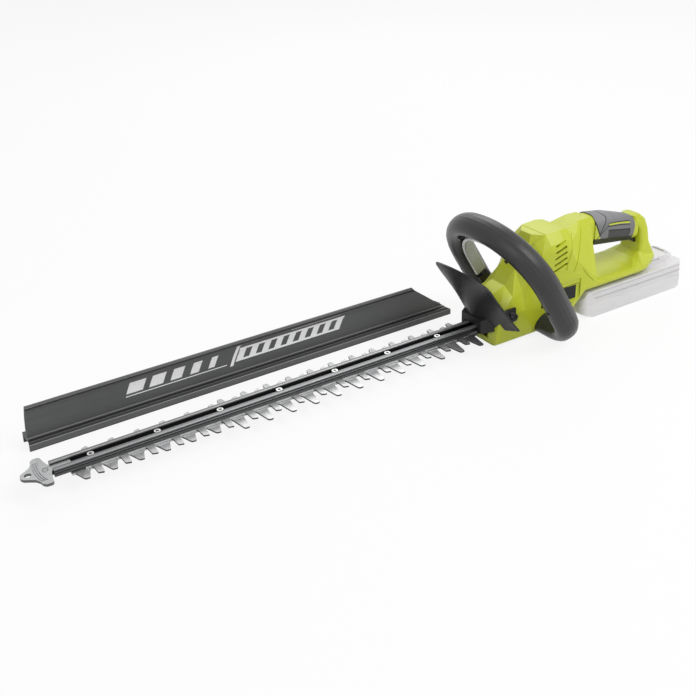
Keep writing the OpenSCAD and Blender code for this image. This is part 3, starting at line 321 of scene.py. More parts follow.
def moulded(name, colour, rough, grain=0.00002, specular=0.5, shift=0.05, scuffs=0.0):
    """Moulded plastic: spark-eroded grain, faint flow clouds in the colour, a few rubbed scuffs."""
    f = Finish(name, colour, rough, specular=specular)
    swing = 2.2 * shift
    darker = scaled(colour, 1 - swing)
    lighter = tuple(min(1.0, c * (1 + swing)) for c in colour)
    f.tint(f.ramp(f.noise(14, 4), 0.38, 0.62), lighter, 0.6)
    f.tint(f.ramp(f.noise(55, 3), 0.5, 0.75), darker, 0.5)
    f.roughen(f.noise(SHEEN, 4), rough - 0.07, rough + 0.1)
    f.bump(f.noise(GRAIN, 2, 0.6), grain)
    f.bump(f.noise(160, 2), grain * 1.5, 0.6)
    if scuffs:
        pale = 0.4 * min(1.0, max(colour) * 1.8 + 0.05)
        worn = tuple(c * 0.6 + pale for c in colour)
        f.tint(f.ramp(f.noise(90, 8, 0.75, f.stretched((1, 4, 4))), 0.63, 0.67), worn, scuffs)
    return f.material


def ground_steel(name, colour, rough, along=(900, 40, 900)):
    """Ground or rolled steel: fine parallel scratches and soft smudges."""
    f = Finish(name, colour, rough, metallic=1.0)
    scratch, smudge = 1 - 2.6 * 0.08, 0.86
    lines = f.noise(1.0, 5, 0.7, f.stretched(along))
    f.tint(f.ramp(lines, 0.42, 0.6), scaled(colour, scratch), 0.8)
    f.tint(f.ramp(f.noise(24, 4), 0.45, 0.7), scaled(colour, smudge), 0.55)
    f.roughen(lines, rough - 0.08, rough + 0.14)
    f.bump(lines, 0.000012)
    return f.material


def cast(name, colour, rough):
    """Die-cast metal: pebbled skin with cloudy oxide."""
    f = Finish(name, colour, rough, metallic=0.9)
    oxide = 0.72
    f.tint(f.ramp(f.noise(60, 5), 0.4, 0.65), scaled(colour, oxide), 0.7)
    f.roughen(f.noise(240, 4), rough - 0.1, rough + 0.12)
    f.bump(f.noise(900, 4), 0.00008)
    return f.material


# The finishes below place their marks in millimetres: levels up from the ground, and distances from the
# bar's middle or from the model's origin. A pair is where a soft step starts and ends, or a limit and how
# softly it fades. Three numbers are a band's two limits and its softness. Marks that go by the way a face
# looks use shares from -1 to 1 instead.


def coated_bar(name):
    """Dark coated extrusion with drawn lines along it and lighter grey rail tops; painted highlights on their
    inner edges, painted shade in the channel and grooves.
    """
    f = Finish(name, (0.055, 0.056, 0.058), 0.38, metallic=0.35)
    rail_top, rail_side, flank = (30.6, 31.6), (5.2, 5.6), (9.4, 9.8)
    rail_edge_highlight, dull_edge = (5.2, 6.0, 0.25), (7.6, 8.2, 0.3)
    slot_floor, slot_side = (30.4, 0.4), (5.8, 0.2)
    flank_grooves = ((25.9, 27.3, 0.3), (28.5, 29.7, 0.3))
    y, z = f.math("ABSOLUTE", f.across("Y")), f.across("Z")
    top = f.smooth(z, *rail_top)
    rail = f.both(top, f.smooth(y, *rail_side))
    drawn = f.noise(1.0, 4, 0.6, f.stretched((12, 1400, 1400)))
    f.tint(f.ramp(drawn, 0.45, 0.62), (0.10, 0.101, 0.104), 0.6)
    f.tint(rail, (0.20, 0.204, 0.208), 0.9)
    # Painted highlight along the inner edge of each rail top
    f.tint(f.both(rail, f.between(y, *rail_edge_highlight)), (0.42, 0.42, 0.42), 0.8)
    f.tint(f.both(rail, f.between(y, *dull_edge)), (0.12, 0.12, 0.125), 0.7)
    # Painted shade: near black on the floor of the channel between the rails
    f.tint(f.both(f.below(z, *slot_floor), f.below(y, *slot_side)), (0.006, 0.006, 0.007), 0.9)
    # Painted shade in the two grooves along each flank
    for groove in flank_grooves:
        f.tint(f.both(f.between(z, *groove), f.smooth(y, *flank)), GROOVE_DARK, 0.9)
    rubbed = f.noise(1.0, 6, 0.7, f.stretched((16, 260, 260)))
    f.tint(f.both(f.ramp(rubbed, 0.60, 0.68), top), (0.42, 0.42, 0.43), 0.5)
    f.roughen(drawn, 0.28, 0.46)
    f.bump(drawn, 0.000015)
    return f.material


def blade(name, low, high):
    """Ground blade plate between two levels: bright faces scratched by hedges, sap stains, and painted shade
    on the cut edges, under the bar and at the heel.
    """
    f = Finish(name, (0.66, 0.665, 0.67), 0.36, metallic=0.6)
    heel, body, sap_reach, tooth_root = (70, 110), (12.0, 2), (24, 10), (12.4, 13.5)
    cut_height, upright_limit = (low - 0.1, high - 0.14, 0.05), (0.6, 0.2)
    x, y, z = f.across("X"), f.math("ABSOLUTE", f.across("Y")), f.across("Z")
    lines = f.noise(1.0, 5, 0.7, f.stretched((1500, 70, 1500)))
    f.tint(f.ramp(lines, 0.42, 0.6), (0.58, 0.585, 0.59), 0.7)
    f.tint(f.ramp(f.noise(26, 4), 0.45, 0.7), (0.62, 0.62, 0.61), 0.5)
    sap = f.noise(1.0, 6, 0.7, f.stretched((160, 60, 160)))
    f.tint(f.both(f.ramp(sap, 0.56, 0.66), f.below(y, *sap_reach)), (0.16, 0.15, 0.12), 0.35)
    # Painted shade over the body of the plate under the bar
    f.tint(f.below(y, *body), (0.30, 0.30, 0.305), 0.4)
    # Painted shade and painted reflection of the dark guard over the heel
    f.tint(f.below(x, *heel), (0.13, 0.13, 0.135), 0.85)
    # Painted shade: near black on the upright cut edges of the teeth, picked out by the way the faces look
    upright = f.below(f.math("ABSOLUTE", f.faced("Z")), *upright_limit)
    cut = f.both(upright, f.between(z, *cut_height), f.smooth(y, *tooth_root))
    f.tint(cut, (0.035, 0.035, 0.037), 0.95)
    f.roughen(lines, 0.26, 0.5)
    f.bump(lines, 0.000012)
    return f.material


def bar_screw(name):
    """Zinc screws down the bar: bright heads with painted shade in each socket and in a thin ring round the
    head, and a dull washer.
    """
    f = Finish(name, (0.74, 0.74, 0.73), 0.28, metallic=0.8)
    pitch, first = 80.0, 45.0
    ring, washer, socket, head_level = (3.95, 4.35, 0.15), (4.3, 4.5), (2.0, 0.15), (26.0, 27.0)
    along = f.math("FLOORED_MODULO", f.math("SUBTRACT", f.across("X"), first - pitch / 2), pitch)
    x = f.math("SUBTRACT", along, pitch / 2)
    y, z = f.across("Y"), f.across("Z")
    r = f.math("SQRT", f.math("ADD", f.math("MULTIPLY", x, x), f.math("MULTIPLY", y, y)))
    f.tint(f.ramp(f.noise(500, 4), 0.4, 0.7), (0.55, 0.55, 0.54), 0.6)
    # Painted shade in the thin gap round each head
    f.tint(f.between(r, *ring), (0.03, 0.03, 0.031), 0.9)
    f.tint(f.smooth(r, *washer), (0.36, 0.36, 0.36), 0.8)
    # Painted shade in the socket of each head
    f.tint(f.both(f.below(r, *socket), f.smooth(z, *head_level)), GROOVE_DARK, 0.95)
    f.roughen(f.noise(900, 3), 0.22, 0.36)
    return f.material


def tip_plate(name):
    """Pressed steel tip: a duller rolled plate, a painted highlight along the rib crests and painted shade on
    the sheared edges.
    """
    f = Finish(name, (0.50, 0.505, 0.51), 0.34, metallic=0.75)
    rib_crest_highlight, plate_top, sheared = (30.2, 30.9), (30.0, 0.3), (0.55, 0.2)
    z, up = f.across("Z"), f.faced("Z")
    rolled = f.noise(1.0, 5, 0.7, f.stretched((200, 900, 900)))
    f.tint(f.ramp(rolled, 0.4, 0.65), (0.40, 0.405, 0.41), 0.7)
    # Painted highlight: near white along the crests of the ribs
    f.tint(f.smooth(z, *rib_crest_highlight), (0.86, 0.86, 0.86), 0.95)
    # Painted shade on the faces below the plate's top that look sideways or down
    f.tint(f.both(f.below(z, *plate_top), f.below(up, *sheared)), (0.06, 0.06, 0.062), 0.85)
    f.roughen(rolled, 0.22, 0.42)
    f.bump(rolled, 0.00003)
    return f.material


def lever_skin(name):
    """Pale grey lever moulding, with painted light on the faces that look forward, the pressed face at its
    front among them.
    """
    f = Finish(name, (0.40, 0.40, 0.41), 0.42, specular=0.3)
    lit_forward_faces = (0.25, 0.6)
    # Painted light: faces that look forward are tinted near white
    f.tint(f.smooth(f.faced("X"), *lit_forward_faces), (0.86, 0.86, 0.87), 0.95)
    f.tint(f.ramp(f.noise(40, 4), 0.45, 0.7), (0.36, 0.36, 0.37), 0.25)
    f.roughen(f.noise(SHEEN, 4), 0.34, 0.5)
    f.bump(f.noise(GRAIN, 2, 0.6), 0.00002)
    return f.material


def sweep_skin(name):
    """Charcoal extrusion: painted highlights on the foot, clip and crest edges; painted shade in its dark
    channels.
    """
    f = Finish(name, (0.080, 0.082, 0.082), 0.5)
    near_leg, crest_side = (-94.0, -93.2), (-96, -92)
    clip_roof_shade, clip_width = (11.5, 13.4, 0.2), (-99.2, -93.0, 0.4)
    leg_channel_shade, leg_edge_highlight, leg_foot_shade = (9.2, 12.4, 0.2), (8.0, 8.8, 0.2), (1.2, 0.3)
    foot_edge_highlight, foot_side = (13.9, 14.9, 0.2), (-97.5, 0.3)
    crest_edge_highlight, crest_groove_shade = (60.9, 61.5, 0.15), (57.0, 57.9, 0.2)
    y, z = f.across("Y"), f.across("Z")
    leg = f.smooth(y, *near_leg)
    flow = f.noise(1.0, 4, 0.6, f.stretched((9, 300, 300)))
    f.tint(f.ramp(flow, 0.4, 0.65), (0.066, 0.068, 0.068), 0.8)
    f.tint(f.ramp(f.noise(11, 3), 0.45, 0.7), (0.096, 0.098, 0.098), 0.5)
    # Painted light and shade in bands by height: shade under the clip's roof, in the leg's channel, at the
    # leg's foot and in the crest groove; highlights on the leg's edge, the edge over the foot and the crest
    f.tint(f.both(f.between(z, *clip_roof_shade), f.between(y, *clip_width)), (0.008, 0.008, 0.009), 0.95)
    f.tint(f.both(leg, f.between(z, *leg_channel_shade)), GROOVE_DARK, 0.95)
    f.tint(f.both(leg, f.between(z, *leg_edge_highlight)), (0.30, 0.30, 0.30), 0.9)
    f.tint(f.both(leg, f.below(z, *leg_foot_shade)), (0.02, 0.02, 0.021), 0.9)
    f.tint(f.both(f.between(z, *foot_edge_highlight), f.below(y, *foot_side)), (0.26, 0.26, 0.26), 0.85)
    f.tint(f.between(z, *crest_edge_highlight), (0.30, 0.30, 0.30), 0.7)
    f.tint(f.both(f.between(z, *crest_groove_shade), f.smooth(y, *crest_side)), (0.015, 0.015, 0.016), 0.8)
    worn = f.noise(1.0, 8, 0.75, f.stretched((20, 160, 160)))
    f.tint(f.ramp(worn, 0.63, 0.67), (0.16, 0.16, 0.16), 0.12)
    f.roughen(flow, 0.42, 0.56)
    f.bump(f.noise(GRAIN, 2, 0.6), 0.00002)
    f.bump(flow, 0.00002)
    return f.material


def grip_skin(name):
    """Soft grey overmould of the rear grip: sewn-looking grooves, a lime wedge and line, a dark lower panel.

    The ridge and the lower seam fall away behind x = -161, so each has its own measure of height.
    """
    f = Finish(name, (0.17, 0.172, 0.175), 0.6, specular=0.35)
    bend_at, ridge_slope, ridge_curve, low_slope = -161.0, 0.07, 0.002, 0.184
    seam_lean, slant_lean = -0.166, -0.48
    skirt_at, skirt_slope, skirt_edge = 129.4, 0.168, (111.0, 0.5)
    x, z = f.across("X"), f.across("Z")

    def line(kx, kz):
        return f.math("ADD", f.math("MULTIPLY", x, kx), f.math("MULTIPLY", z, kz))

    back = f.math("SUBTRACT", bend_at, x)
    curve = f.math("MULTIPLY", f.math("MULTIPLY", back, back), ridge_curve)
    sag = f.math("ADD", f.math("MULTIPLY", back, ridge_slope), curve)
    ridge = f.math("ADD", z, sag)
    low = f.math("ADD", z, f.math("MULTIPLY", back, low_slope))
    seam, slant = line(1.0, seam_lean), line(1.0, slant_lean)
    rear = f.between(x, -203, -161, 1.5)
    front_seam = f.between(seam, -152.6, -151.4)
    rear_slant = f.both(f.between(slant, -199.9, -198.0), f.smooth(z, 112, 113))
    crown_cut = f.both(f.between(line(1.0, -0.9), -281.2, -279.9), f.smooth(z, 136.6, 137.2))
    front_cut = f.both(f.between(line(1.0, 0.597), -75.6, -74.3), f.between(z, 117, 137))
    cross_cut = f.both(f.between(line(0.68, 1.0), 15.6, 16.8), f.between(x, -161, -138))
    stripe_top = f.both(rear, f.between(ridge, 127.4, 128.3))
    stripe_foot = f.both(rear, f.between(ridge, 122.9, 123.9))
    panel_top = f.both(rear, f.between(low, 116.9, 118.3))
    rear_end = f.both(f.between(x, -204.4, -202.8), f.between(z, 103, 111))
    grooves = f.either(
        front_seam, rear_slant, crown_cut, front_cut, cross_cut, stripe_top, stripe_foot, panel_top, rear_end
    )
    wedge = f.both(f.below(seam, -152.8, 0.2), f.smooth(slant, -197.8, -197.5), f.below(z, 134, 0.6))
    stripe = f.both(rear, f.between(ridge, 125.0, 127.2))
    # Painted light: lighter grey towards the top of the grip, as lit from above
    f.tint(f.smooth(z, 122, 140), (0.30, 0.30, 0.31), 0.55)
    f.tint(f.both(rear, f.below(low, 117.2)), (0.035, 0.035, 0.037), 0.85)
    f.tint(f.either(wedge, stripe), (0.50, 0.56, 0.05))
    skirt = f.math("SUBTRACT", z, f.math("MULTIPLY", f.math("ADD", x, skirt_at), skirt_slope))
    f.tint(f.below(skirt, *skirt_edge), (0.016, 0.016, 0.017), 0.95)
    f.tint(grooves, GROOVE_DARK, 0.95)
    f.tint(f.ramp(f.noise(60, 4), 0.5, 0.8), (0.10, 0.10, 0.105), 0.3)
    f.roughen(f.noise(SHEEN, 4), 0.5, 0.7)
    f.bump(f.noise(1500, 2, 0.6), 0.00005)
    f.bump(f.math("SUBTRACT", 1.0, grooves), 0.0007)
    return f.material


def frosted(name, colour):
    """Pale plastic that light soaks into, with a fine frosted skin."""
    f = Finish(name, colour, 0.42)
    f.shader.inputs["Subsurface Weight"].default_value = 0.25
    f.shader.inputs["Subsurface Radius"].default_value = (0.012, 0.012, 0.013)
    f.shader.inputs["Subsurface Scale"].default_value = 0.4
    duller = scaled(colour, 0.93)
    paler = tuple(min(1, c * 1.05) for c in colour)
    f.tint(f.ramp(f.noise(22, 4), 0.4, 0.68), duller, 0.8)
    f.tint(f.ramp(f.noise(8, 2), 0.5, 0.8), paler, 0.8)
    f.roughen(f.noise(500, 4), 0.34, 0.52)
    f.bump(f.noise(1600, 3), 0.00002)
    return f.material


# Levels of the underside and the top of each blade, in millimetres
UPPER_BLADE = (20.5, 22.8)
LOWER_BLADE = (18.0, 20.3)
GREEN = (0.50, 0.555, 0.026)
# Finish of each material slot, and two more: shade painted on the battery's ledge and rim, and the sweep's ink
FINISH = {
    "green_plastic": moulded("lime_moulding", GREEN, 0.36, 0.000016, specular=0.42, shift=0.02),
    "dark_plastic": moulded("black_moulding", (0.018, 0.018, 0.019), 0.42, scuffs=0.15),
    "dark_screws": ground_steel("black_oxide_steel", (0.09, 0.09, 0.095), 0.4),
    "soft_grip": grip_skin("grey_overmould"),
    "black_plate": moulded("black_plate", (0.010, 0.010, 0.011), 0.5, 0.000006, specular=0.25),
    "cast_metal": cast("die_cast_case", (0.52, 0.52, 0.54), 0.48),
    "gear_steel": ground_steel("gear_steel", (0.5, 0.5, 0.52), 0.3, (400, 400, 40)),
    "motor_steel": ground_steel("plated_can", (0.52, 0.52, 0.53), 0.34, (60, 60, 900)),
    "circuit_board": moulded("green_board", (0.015, 0.12, 0.05), 0.35),
    "bar_coating": coated_bar("coated_bar"),
    "bright_screws": bar_screw("zinc_screws"),
    "blade_steel": blade("ground_upper_blade", *UPPER_BLADE),
    "tip_metal": tip_plate("pressed_tip"),
    "guard_plastic": moulded("guard_moulding", (0.019, 0.019, 0.020), 0.36, specular=0.25, scuffs=0.12),
    "loop_plastic": moulded(
        "charcoal_moulding", (0.036, 0.036, 0.037), 0.3, grain=0.00003, specular=0.3, scuffs=0.08
    ),
    "lever_plastic": lever_skin("pale_lever_moulding"),
    "pack_plastic": frosted("frosted_case", (0.69, 0.68, 0.69)),
    "pack_edge_shade": frosted("frosted_edge_shade", (0.50, 0.49, 0.50)),
    "cell_wrap": moulded("cell_wrap", (0.10, 0.25, 0.42), 0.3),
    "contact_brass": ground_steel("contact_brass", (0.72, 0.52, 0.22), 0.25, (300, 300, 300)),
    "sweep_plastic": sweep_skin("charcoal_extrusion"),
    "white_ink": moulded("white_ink", (0.95, 0.95, 0.95), 0.4, 0.000008, shift=0.01),
}


# ---------------------------------------------------------------- shapes


def add_piece(name, mesh, slot, body, smooth, replaces=(), material=None):
    """Links a mesh as one piece of the trimmer, riding on a body and finished from a material slot.

    Edges sharper than smooth, in degrees, stay sharp.
    """
    piece = bpy.data.objects.new(name, mesh)
    bpy.context.scene.collection.objects.link(piece)
    mesh.materials.append(material or FINISH[slot])
    mesh.set_sharp_from_angle(angle=math.radians(smooth))
    mesh.polygons.foreach_set("use_smooth", np.ones(len(mesh.polygons), bool))
    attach(piece, body)
    if replaces:
        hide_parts(*replaces)
    return piece


def mesh_from(name, points, faces):
    """Mesh from an array of points whose last axis is (x, y, z), and a list of index tuples."""
    mesh = bpy.data.meshes.new(name)
    points = np.asarray(points, float).reshape(-1, 3).tolist()
    mesh.from_pydata(points, [], [tuple(map(int, face)) for face in faces])
    mesh.update()
    return mesh


def grid_faces(nu, nv, ring_v=False, start=0):
    """Index quads of a grid of nu by nv points, closed along v where asked."""
    u = np.arange(nu - 1)[:, None]
    v = np.arange(nv if ring_v else nv - 1)[None, :]
    after = (v + 1) % nv
    corners = (u * nv + v, (u + 1) * nv + v, (u + 1) * nv + after, u * nv + after)
    return np.stack(np.broadcast_arrays(*corners), -1).reshape(-1, 4) + start


def tube_of(name, rings):
    """Closed tube over (stations, around, 3) rings: quads between them and one cap at either end."""
    n, m = rings.shape[:2]
    faces = [tuple(f) for f in grid_faces(n, m, ring_v=True)]
    faces.append(tuple(range(m)))
    faces.append(tuple(range(n * m - 1, (n - 1) * m - 1, -1)))
    mesh = mesh_from(name, rings, faces)
    face_outwards(mesh)
    return mesh


def face_outwards(mesh):
    """Merges doubles and turns every face outwards."""
    bm = bmesh.new()
    bm.from_mesh(mesh)
    bmesh.ops.remove_doubles(bm, verts=bm.verts, dist=1e-7)
    bmesh.ops.recalc_face_normals(bm, faces=bm.faces)
    bm.to_mesh(mesh)
    bm.free()
    mesh.update()


def merged_copy(node):
    """Copy of a node's mesh with its corners merged and its flat fans joined into whole faces."""
    weld, flat = 2e-6, math.radians(0.6)
    mesh = frame["nodes"][node].data.copy()
    mesh.name = node + "_skin"
    bm = bmesh.new()
    bm.from_mesh(mesh)
    bmesh.ops.remove_doubles(bm, verts=bm.verts, dist=weld)
    bmesh.ops.dissolve_limit(bm, angle_limit=flat, verts=bm.verts, edges=bm.edges)
    bmesh.ops.remove_doubles(bm, verts=bm.verts, dist=weld)
    bm.to_mesh(mesh)
    bm.free()
    mesh.materials.clear()
    return mesh


def softened(node, radius, angle, steps=2, material=None):
    """Stands a rounded copy of a node in its place: every edge sharper than angle gets a small radius."""
    mesh = merged_copy(node)
    piece = add_piece(node + "_skin", mesh, SLOT_OF[node], BODY_OF[node], angle, (node,), material)
    bevel = piece.modifiers.new("edge_radius", "BEVEL")
    bevel.width = radius
    bevel.segments = steps
    bevel.limit_method = "ANGLE"
    bevel.angle_limit = math.radians(angle)
    bevel.harden_normals = True
    bevel.use_clamp_overlap = True
    return piece


def refinish(node):
    """Gives a node that stays as it is its finish."""
    o = frame["nodes"][node]
    o.data.materials.clear()
    o.data.materials.append(FINISH[SLOT_OF[node]])


# ---------------------------------------------------------------- mouldings kept from the model

for node_name in frame["nodes"]:
    refinish(node_name)

# Radius of a node's softened edges, in millimetres, and the angle in degrees from which an edge is softened
SOFT_EDGES = {
    "housing_left": (1.0, 11),
    "housing_right": (1.0, 11),
    "hand_guard": (0.9, 12),
    "loop_front": (0.8, 30),
    "loop_rear": (0.8, 30),
    "front_lever": (0.9, 30),
    "battery_upper": (1.2, 30),
    "battery_lower": (1.2, 30),
    "battery_latch": (0.5, 30),
    "blade_bar": (0.5, 30),
    "sweep_panel": (0.35, 35),
    "grip_left": (1.0, 30),
    "grip_right": (1.0, 30),
    "trigger": (1.0, 30),
    "tip_guard": (0.5, 30),
    "base_cover": (0.8, 30),
    "side_plate": (0.3, 30),
}
for node, (radius, angle) in SOFT_EDGES.items():
    softened(node, radius * MM, angle)
blade_radius, blade_angle = 0.25 * MM, 50
softened("blade_upper", blade_radius, blade_angle, steps=1)
lower_steel = blade("ground_lower_blade", *LOWER_BLADE)
softened("blade_lower", blade_radius, blade_angle, steps=1, material=lower_steel)


# ---------------------------------------------------------------- trim laid on the mouldings

SIDES = (("left", 1), ("right", -1))
# How deep the back of a sheet laid on a side lies under it, in millimetres
SINK = 0.5


def triangles_of(node):
    """All triangles of a node as a (count, 3, 3) array."""
    mesh = frame["nodes"][node].data
    mesh.calc_loop_triangles()
    places = np.empty(len(mesh.vertices) * 3)
    mesh.vertices.foreach_get("co", places)
    corners = np.empty(len(mesh.loop_triangles) * 3, int)
    mesh.loop_triangles.foreach_get("vertices", corners)
    return places.reshape(-1, 3)[corners].reshape(-1, 3, 3)


def side_of(node, x, z, side):
    """Outermost y of a node over (x, z): the furthest crossing of a line along y with its triangles.

    Where the line meets nothing, y is the median of the places that it does meet.
    """
    sliver, slack, missed = 1e-14, 1e-6, -1.0
    t = triangles_of(node)
    a, b, c = t[:, 0], t[:, 1] - t[:, 0], t[:, 2] - t[:, 0]
    area = b[:, 0] * c[:, 2] - b[:, 2] * c[:, 0]
    whole = np.abs(area) > sliver
    a, b, c, area = a[whole], b[whole], c[whole], area[whole]
    dx, dz = x.ravel()[:, None] - a[:, 0], z.ravel()[:, None] - a[:, 2]
    u = (dx * c[:, 2] - dz * c[:, 0]) / area
    v = (b[:, 0] * dz - b[:, 2] * dx) / area
    inside = (u > -slack) & (v > -slack) & (u + v < 1 + slack)
    y = np.where(inside, side * (a[:, 1] + u * b[:, 1] + v * c[:, 1]), missed).max(1)
    met = y > missed / 2
    y = np.where(met, y, np.median(y[met]))
    return side * y.reshape(x.shape)


def blanket(name, node, x, z, rise, slot, side=1, material=None):
    """Closed sheet over a grid of (x, z) in millimetres, on the side that is 1 for left and -1 for right:
    y = side_of(x, z) + side rise on its outer face, and y = side_of(x, z) - side SINK on its back. Its rim
    lies a little under the node's side."""
    rim_depth = SINK * 0.3
    x, z = x * MM, z * MM
    y = side_of(node, x, z, side)
    nu, nv = x.shape
    height = np.full((nu, nv), rise * MM)
    height[0], height[-1], height[:, 0], height[:, -1] = [-rim_depth * MM] * 4
    front = np.stack((x, y + side * height, z), -1).reshape(-1, 3)
    back = np.stack((x, y - side * SINK * MM, z), -1).reshape(-1, 3)
    grid = np.arange(nu * nv).reshape(nu, nv)
    rim = np.concatenate((grid[0], grid[1:, -1], grid[-1, -2::-1], grid[-2:0:-1, 0]))
    wall = np.stack((rim, np.roll(rim, -1), np.roll(rim, -1) + nu * nv, rim + nu * nv), 1)
    faces = np.concatenate((grid_faces(nu, nv), grid_faces(nu, nv, start=nu * nv), wall))
    mesh = mesh_from(name, np.concatenate((front, back)), faces)
    face_outwards(mesh)
    return add_piece(name, mesh, slot, BODY_OF[node], 35, material=material)


def along(path):
    """Evenly spaced points along a polyline of (x, z) corners, and the unit normal at each."""
    step, fewest = 1.5, 4
    path = np.asarray(path, float)
    run = np.concatenate(([0], np.cumsum(np.hypot(*np.diff(path, axis=0).T))))
    at = np.linspace(0, run[-1], max(fewest, int(run[-1] / step)))
    points = np.stack((np.interp(at, run, path[:, 0]), np.interp(at, run, path[:, 1])), 1)
    way = np.gradient(points, axis=0)
    way /= np.hypot(*way.T)[:, None]
    return points, np.stack((-way[:, 1], way[:, 0]), 1)


def band(name, node, path, width, rise, slot, side=1, material=None):
    """Strip of a width along a path on a node's side, with sloped edges: its rows stand at
    sign(s) |2 s|^0.6 / 2 of the width, for s evenly from -1/2 to 1/2."""
    rows, crowding = 5, 0.6
    points, normal = along(path)
    share = np.linspace(-0.5, 0.5, rows)
    share = np.sign(share) * np.abs(share * 2) ** crowding / 2
    grid = points[:, None] + normal[:, None] * share[None, :, None] * width
    return blanket(name, node, grid[..., 0], grid[..., 1], rise, slot, side, material)


# Ribs beside the vents, at the root of the handle and on the flank, and two flatter lines lower down
TRIM_WIDTH, RIB_RISE, LINE_RISE = 2.6, 0.9, 0.5
RIBS = {
    "vent_rib": [(-88, 133), (-79, 122), (-72, 110), (-68, 98), (-66, 88)],
    "handle_rib": [(-106, 136), (-101, 124), (-94, 110), (-86, 95), (-80, 82)],
    "flank_rib": [(-97, 84), (-108, 71), (-121, 58.5)],
}
LINES = {
    "belt_line": [(-50, 72.8), (-78, 77.2), (-92, 77.5)],
    "foot_line": [(-62, 33.8), (-76, 34.0), (-88, 34.4)],
}
for side_name, side in SIDES:
    for trim, rise in ((RIBS, RIB_RISE), (LINES, LINE_RISE)):
        for name, path in trim.items():
            band(f"{name}_{side_name}", "housing_" + side_name, path, TRIM_WIDTH, rise, "green_plastic", side)

# Frame round the plate on the left half, and a thin black strip of painted shadow just outside it at the rear
# and above
plate = [(-50, 60.5), (-88.5, 62), (-91.5, 59), (-92, 40), (-89, 37.5), (-56, 36.6)]
plate_rear, plate_middle = -60, 50
behind, above, below = 1.6, 1.4, -0.2
shadow = [
    (x - (behind if x < plate_rear else 0), z + (above if z > plate_middle else below))
    for x, z in plate
]
band("plate_frame", "housing_left", plate, 1.8, 0.8, "green_plastic")
band("plate_shadow_line", "housing_left", shadow, 0.8, 0.15, "black_plate")


# ---------------------------------------------------------------- print on the sweep


def stations(length):
    """Shares of a length from 0 to 1, one per step, with one close to either end for the edge."""
    step, edge, fewest = 2.0, 0.3, 4
    inner = np.linspace(0, 1, max(fewest, int(length / step)))[1:-1]
    return np.concatenate(([0, edge / length], inner, [1 - edge / length, 1]))


def ink_bar(name, x0, x1, z0, z1):
    """Bar of white ink on the sweep from x0 to x1 and z0 to z1, whose ends lean by a share of its height.

    Each point is the two-way blend of the four corners: (1-u)(1-v) a + u(1-v) b + u v c + (1-u) v d.
    """
    ink, lean = 0.12, 0.32
    over = lean * (z1 - z0)
    a, b, c, d = np.array([(x0, z0), (x1, z0), (x1 - over, z1), (x0 - over, z1)], float)
    long = max(np.hypot(*(b - a)), np.hypot(*(c - d)))
    tall = max(np.hypot(*(d - a)), np.hypot(*(c - b)))
    u = stations(long)[:, None, None]
    v = stations(tall)[None, :, None]
    grid = (1 - u) * (1 - v) * a + u * (1 - v) * b + u * v * c + (1 - u) * v * d
    white = FINISH["white_ink"]
    return blanket(name, "sweep_panel", grid[..., 0], grid[..., 1], ink, "sweep_plastic", material=white)


# Five bars that grow narrower and stand further apart, from the tip's end backwards
bar_start, bar_width, bar_gap = 525.0, 22.0, 8.0
narrower, further = 3.2, 1.6
for k in range(5):
    wide = bar_width - narrower * k
    ink_bar(f"sweep_bar_{k + 1}", bar_start, bar_start - wide, 32, 49)
    bar_start -= wide + bar_gap + further * k

ink_bar("sweep_underline", 526, 388, 27.6, 29.2)
ink_bar("sweep_divider", 384, 379, 24, 56)
ink_bar("sweep_block_top", 371, 212, 46.5, 50)
ink_bar("sweep_block_foot", 376, 218, 29, 32.5)

# Nine even slats between the block's two lines
slat_start, slat_width, slat_pitch = 374.6, 10, 18.4
for k in range(9):
    ink_bar(f"sweep_slat_{k + 1}", slat_start, slat_start - slat_width, 32, 47)
    slat_start -= slat_pitch
ink_bar("sweep_overline", 295, 219, 53.2, 55.2)


# ---------------------------------------------------------------- battery lines, lids and springs

# Path, width and rise of the ledge and the rim along each side of the battery case, finished in painted shade
PACK_LINES = {
    "battery_ledge": ([(-126, 29.0), (-205, 28.4), (-300, 28.4)], 1.8, 1.1),
    "battery_rim": ([(-118, 36.5), (-200, 36.5), (-298, 36.5)], 1.0, 0.5),
}
for side_name, side in SIDES:
    for name, (path, width, rise) in PACK_LINES.items():
        edge = FINISH["pack_edge_shade"]
        band(f"{name}_{side_name}", "battery_upper", path, width, rise, "pack_plastic", side, edge)

# Points round the outline of a lid
RIM_POINTS = 48


def closed_path(corners):
    """Points evenly along the closed polyline through the corners."""
    c = np.asarray(corners, float)
    c = np.concatenate((c, c[:1]))
    run = np.concatenate(([0], np.cumsum(np.linalg.norm(np.diff(c, axis=0), axis=1))))
    at = np.linspace(0, run[-1], RIM_POINTS, endpoint=False)
    return np.stack([np.interp(at, run, c[:, k]) for k in range(3)], 1)


def squared_oval(middle, across, up, power=4.0):
    """Superellipse round a middle point with the half axes across and up:
    middle + across sign(cos a) |cos a|^(2/power) + up sign(sin a) |sin a|^(2/power)."""
    a = np.linspace(0, 2 * np.pi, RIM_POINTS, endpoint=False)[:, None]
    c, s = np.cos(a), np.sin(a)
    c = np.sign(c) * np.abs(c) ** (2 / power)
    s = np.sign(s) * np.abs(s) ** (2 / power)
    return np.asarray(middle, float) + c * np.asarray(across, float) + s * np.asarray(up, float)


def lid(name, outline, out, crown, thick, slot):
    """Crowned plate over a flat outline: its face rises along out by crown times one minus the fourth
    power of the share of the way to the rim, and its back lies thick behind it."""
    rim_drop = 0.35
    outline = np.asarray(outline, float) * MM
    middle, out = outline.mean(0), np.asarray(out, float)
    share = np.array([1.0, 0.985, 0.95, 0.85, 0.7, 0.5, 0.25, 0.02])[:, None, None]
    at_rim = share > 0.99
    lift = (crown * (1 - share ** 4) - rim_drop * at_rim) * MM
    face = middle + (outline - middle)[None] * share + out * lift
    back = middle + (outline - middle)[None] * share[::-1] - out * thick * MM
    return add_piece(name, tube_of(name, np.concatenate((back, face))), slot, "trimmer", 32)


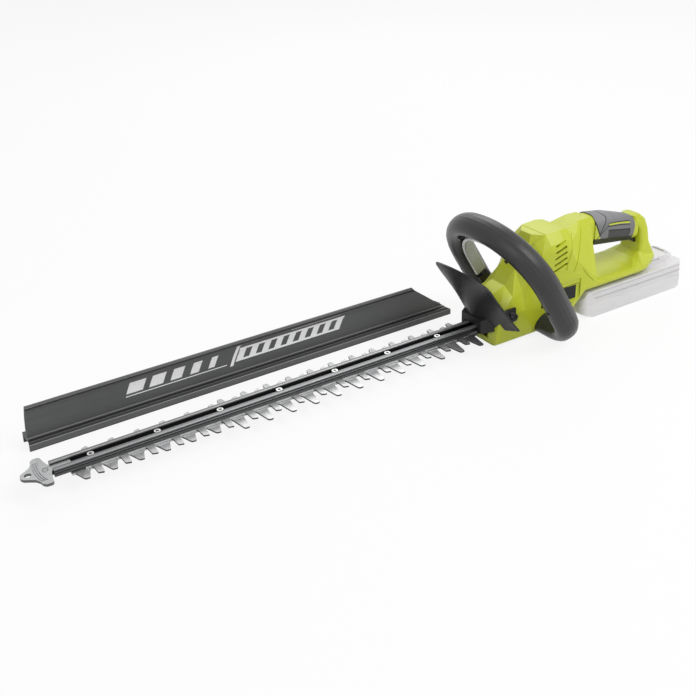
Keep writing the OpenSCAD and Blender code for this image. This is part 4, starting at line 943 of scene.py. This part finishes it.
# Walls that close the body under the grip and the top of the rear column, which are open in the model
rear_outline = closed_path([(-126, -35.4, 58), (-126, 35.4, 58), (-126, 16.6, 126), (-126, -16.6, 126)])
column_outline = squared_oval((-222.2, 0, 124.0), (7.9, 0, 0), (0, 13.1, 0))
lid("rear_wall", rear_outline, (-1, 0, 0), 0.4, 1.4, "green_plastic")
lid("column_cap", column_outline, (0, 0, 1), 1.3, 1.0, "green_plastic")

# Round bosses where the guard is bolted to the housing
for side_name, side in SIDES:
    boss_outline = squared_oval((27.5, side * 41.2, 44.5), (6.4, 0, 0), (0, 0, 5.6), power=2.4)
    lid("guard_boss_" + side_name, boss_outline, (0, side, 0), 1.5, 3.0, "guard_plastic")


def coil(node, turns, wire):
    """Helix of round wire that fills a node's box: with the angle a along it and b round the wire,
    x = (radius + wire cos b) cos a, y = (radius + wire cos b) sin a, z = rise a / a_end + wire sin b."""
    steps_per_turn, wire_sides = 24, 8
    low, high = (np.asarray(v, float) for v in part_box(node))
    middle, wire = (low + high) / 2, wire * MM
    radius = (high[0] - low[0]) / 2 - wire
    a = np.linspace(0, 2 * np.pi * turns, int(steps_per_turn * turns))[:, None]
    b = np.linspace(0, 2 * np.pi, wire_sides, endpoint=False)[None, :]
    reach = radius + wire * np.cos(b)
    height = low[2] + wire + (high[2] - low[2] - 2 * wire) * a / a.max()
    x, y = middle[0] + reach * np.cos(a), middle[1] + reach * np.sin(a)
    rings = np.stack((x, y, height + wire * np.sin(b)), -1)
    mesh = tube_of(node + "_coil", rings)
    return add_piece(node + "_coil", mesh, SLOT_OF[node], BODY_OF[node], 60, (node,))


# Springs over the trigger and at the latch, each listed with the joint beside it. The second entry is the end
#  that is held, 0 for the lower one. The third is the share of the spring's length that is left at the joint's
#  limit.
TRAVEL = {"trigger_spring": ("trigger_press", 1, 0.34), "latch_spring": ("latch_press", 0, 0.3)}
COIL_TURNS, COIL_WIRE = 4.5, 0.4
for node, (joint, held_end, keep) in TRAVEL.items():
    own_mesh(coil(node, COIL_TURNS, COIL_WIRE))
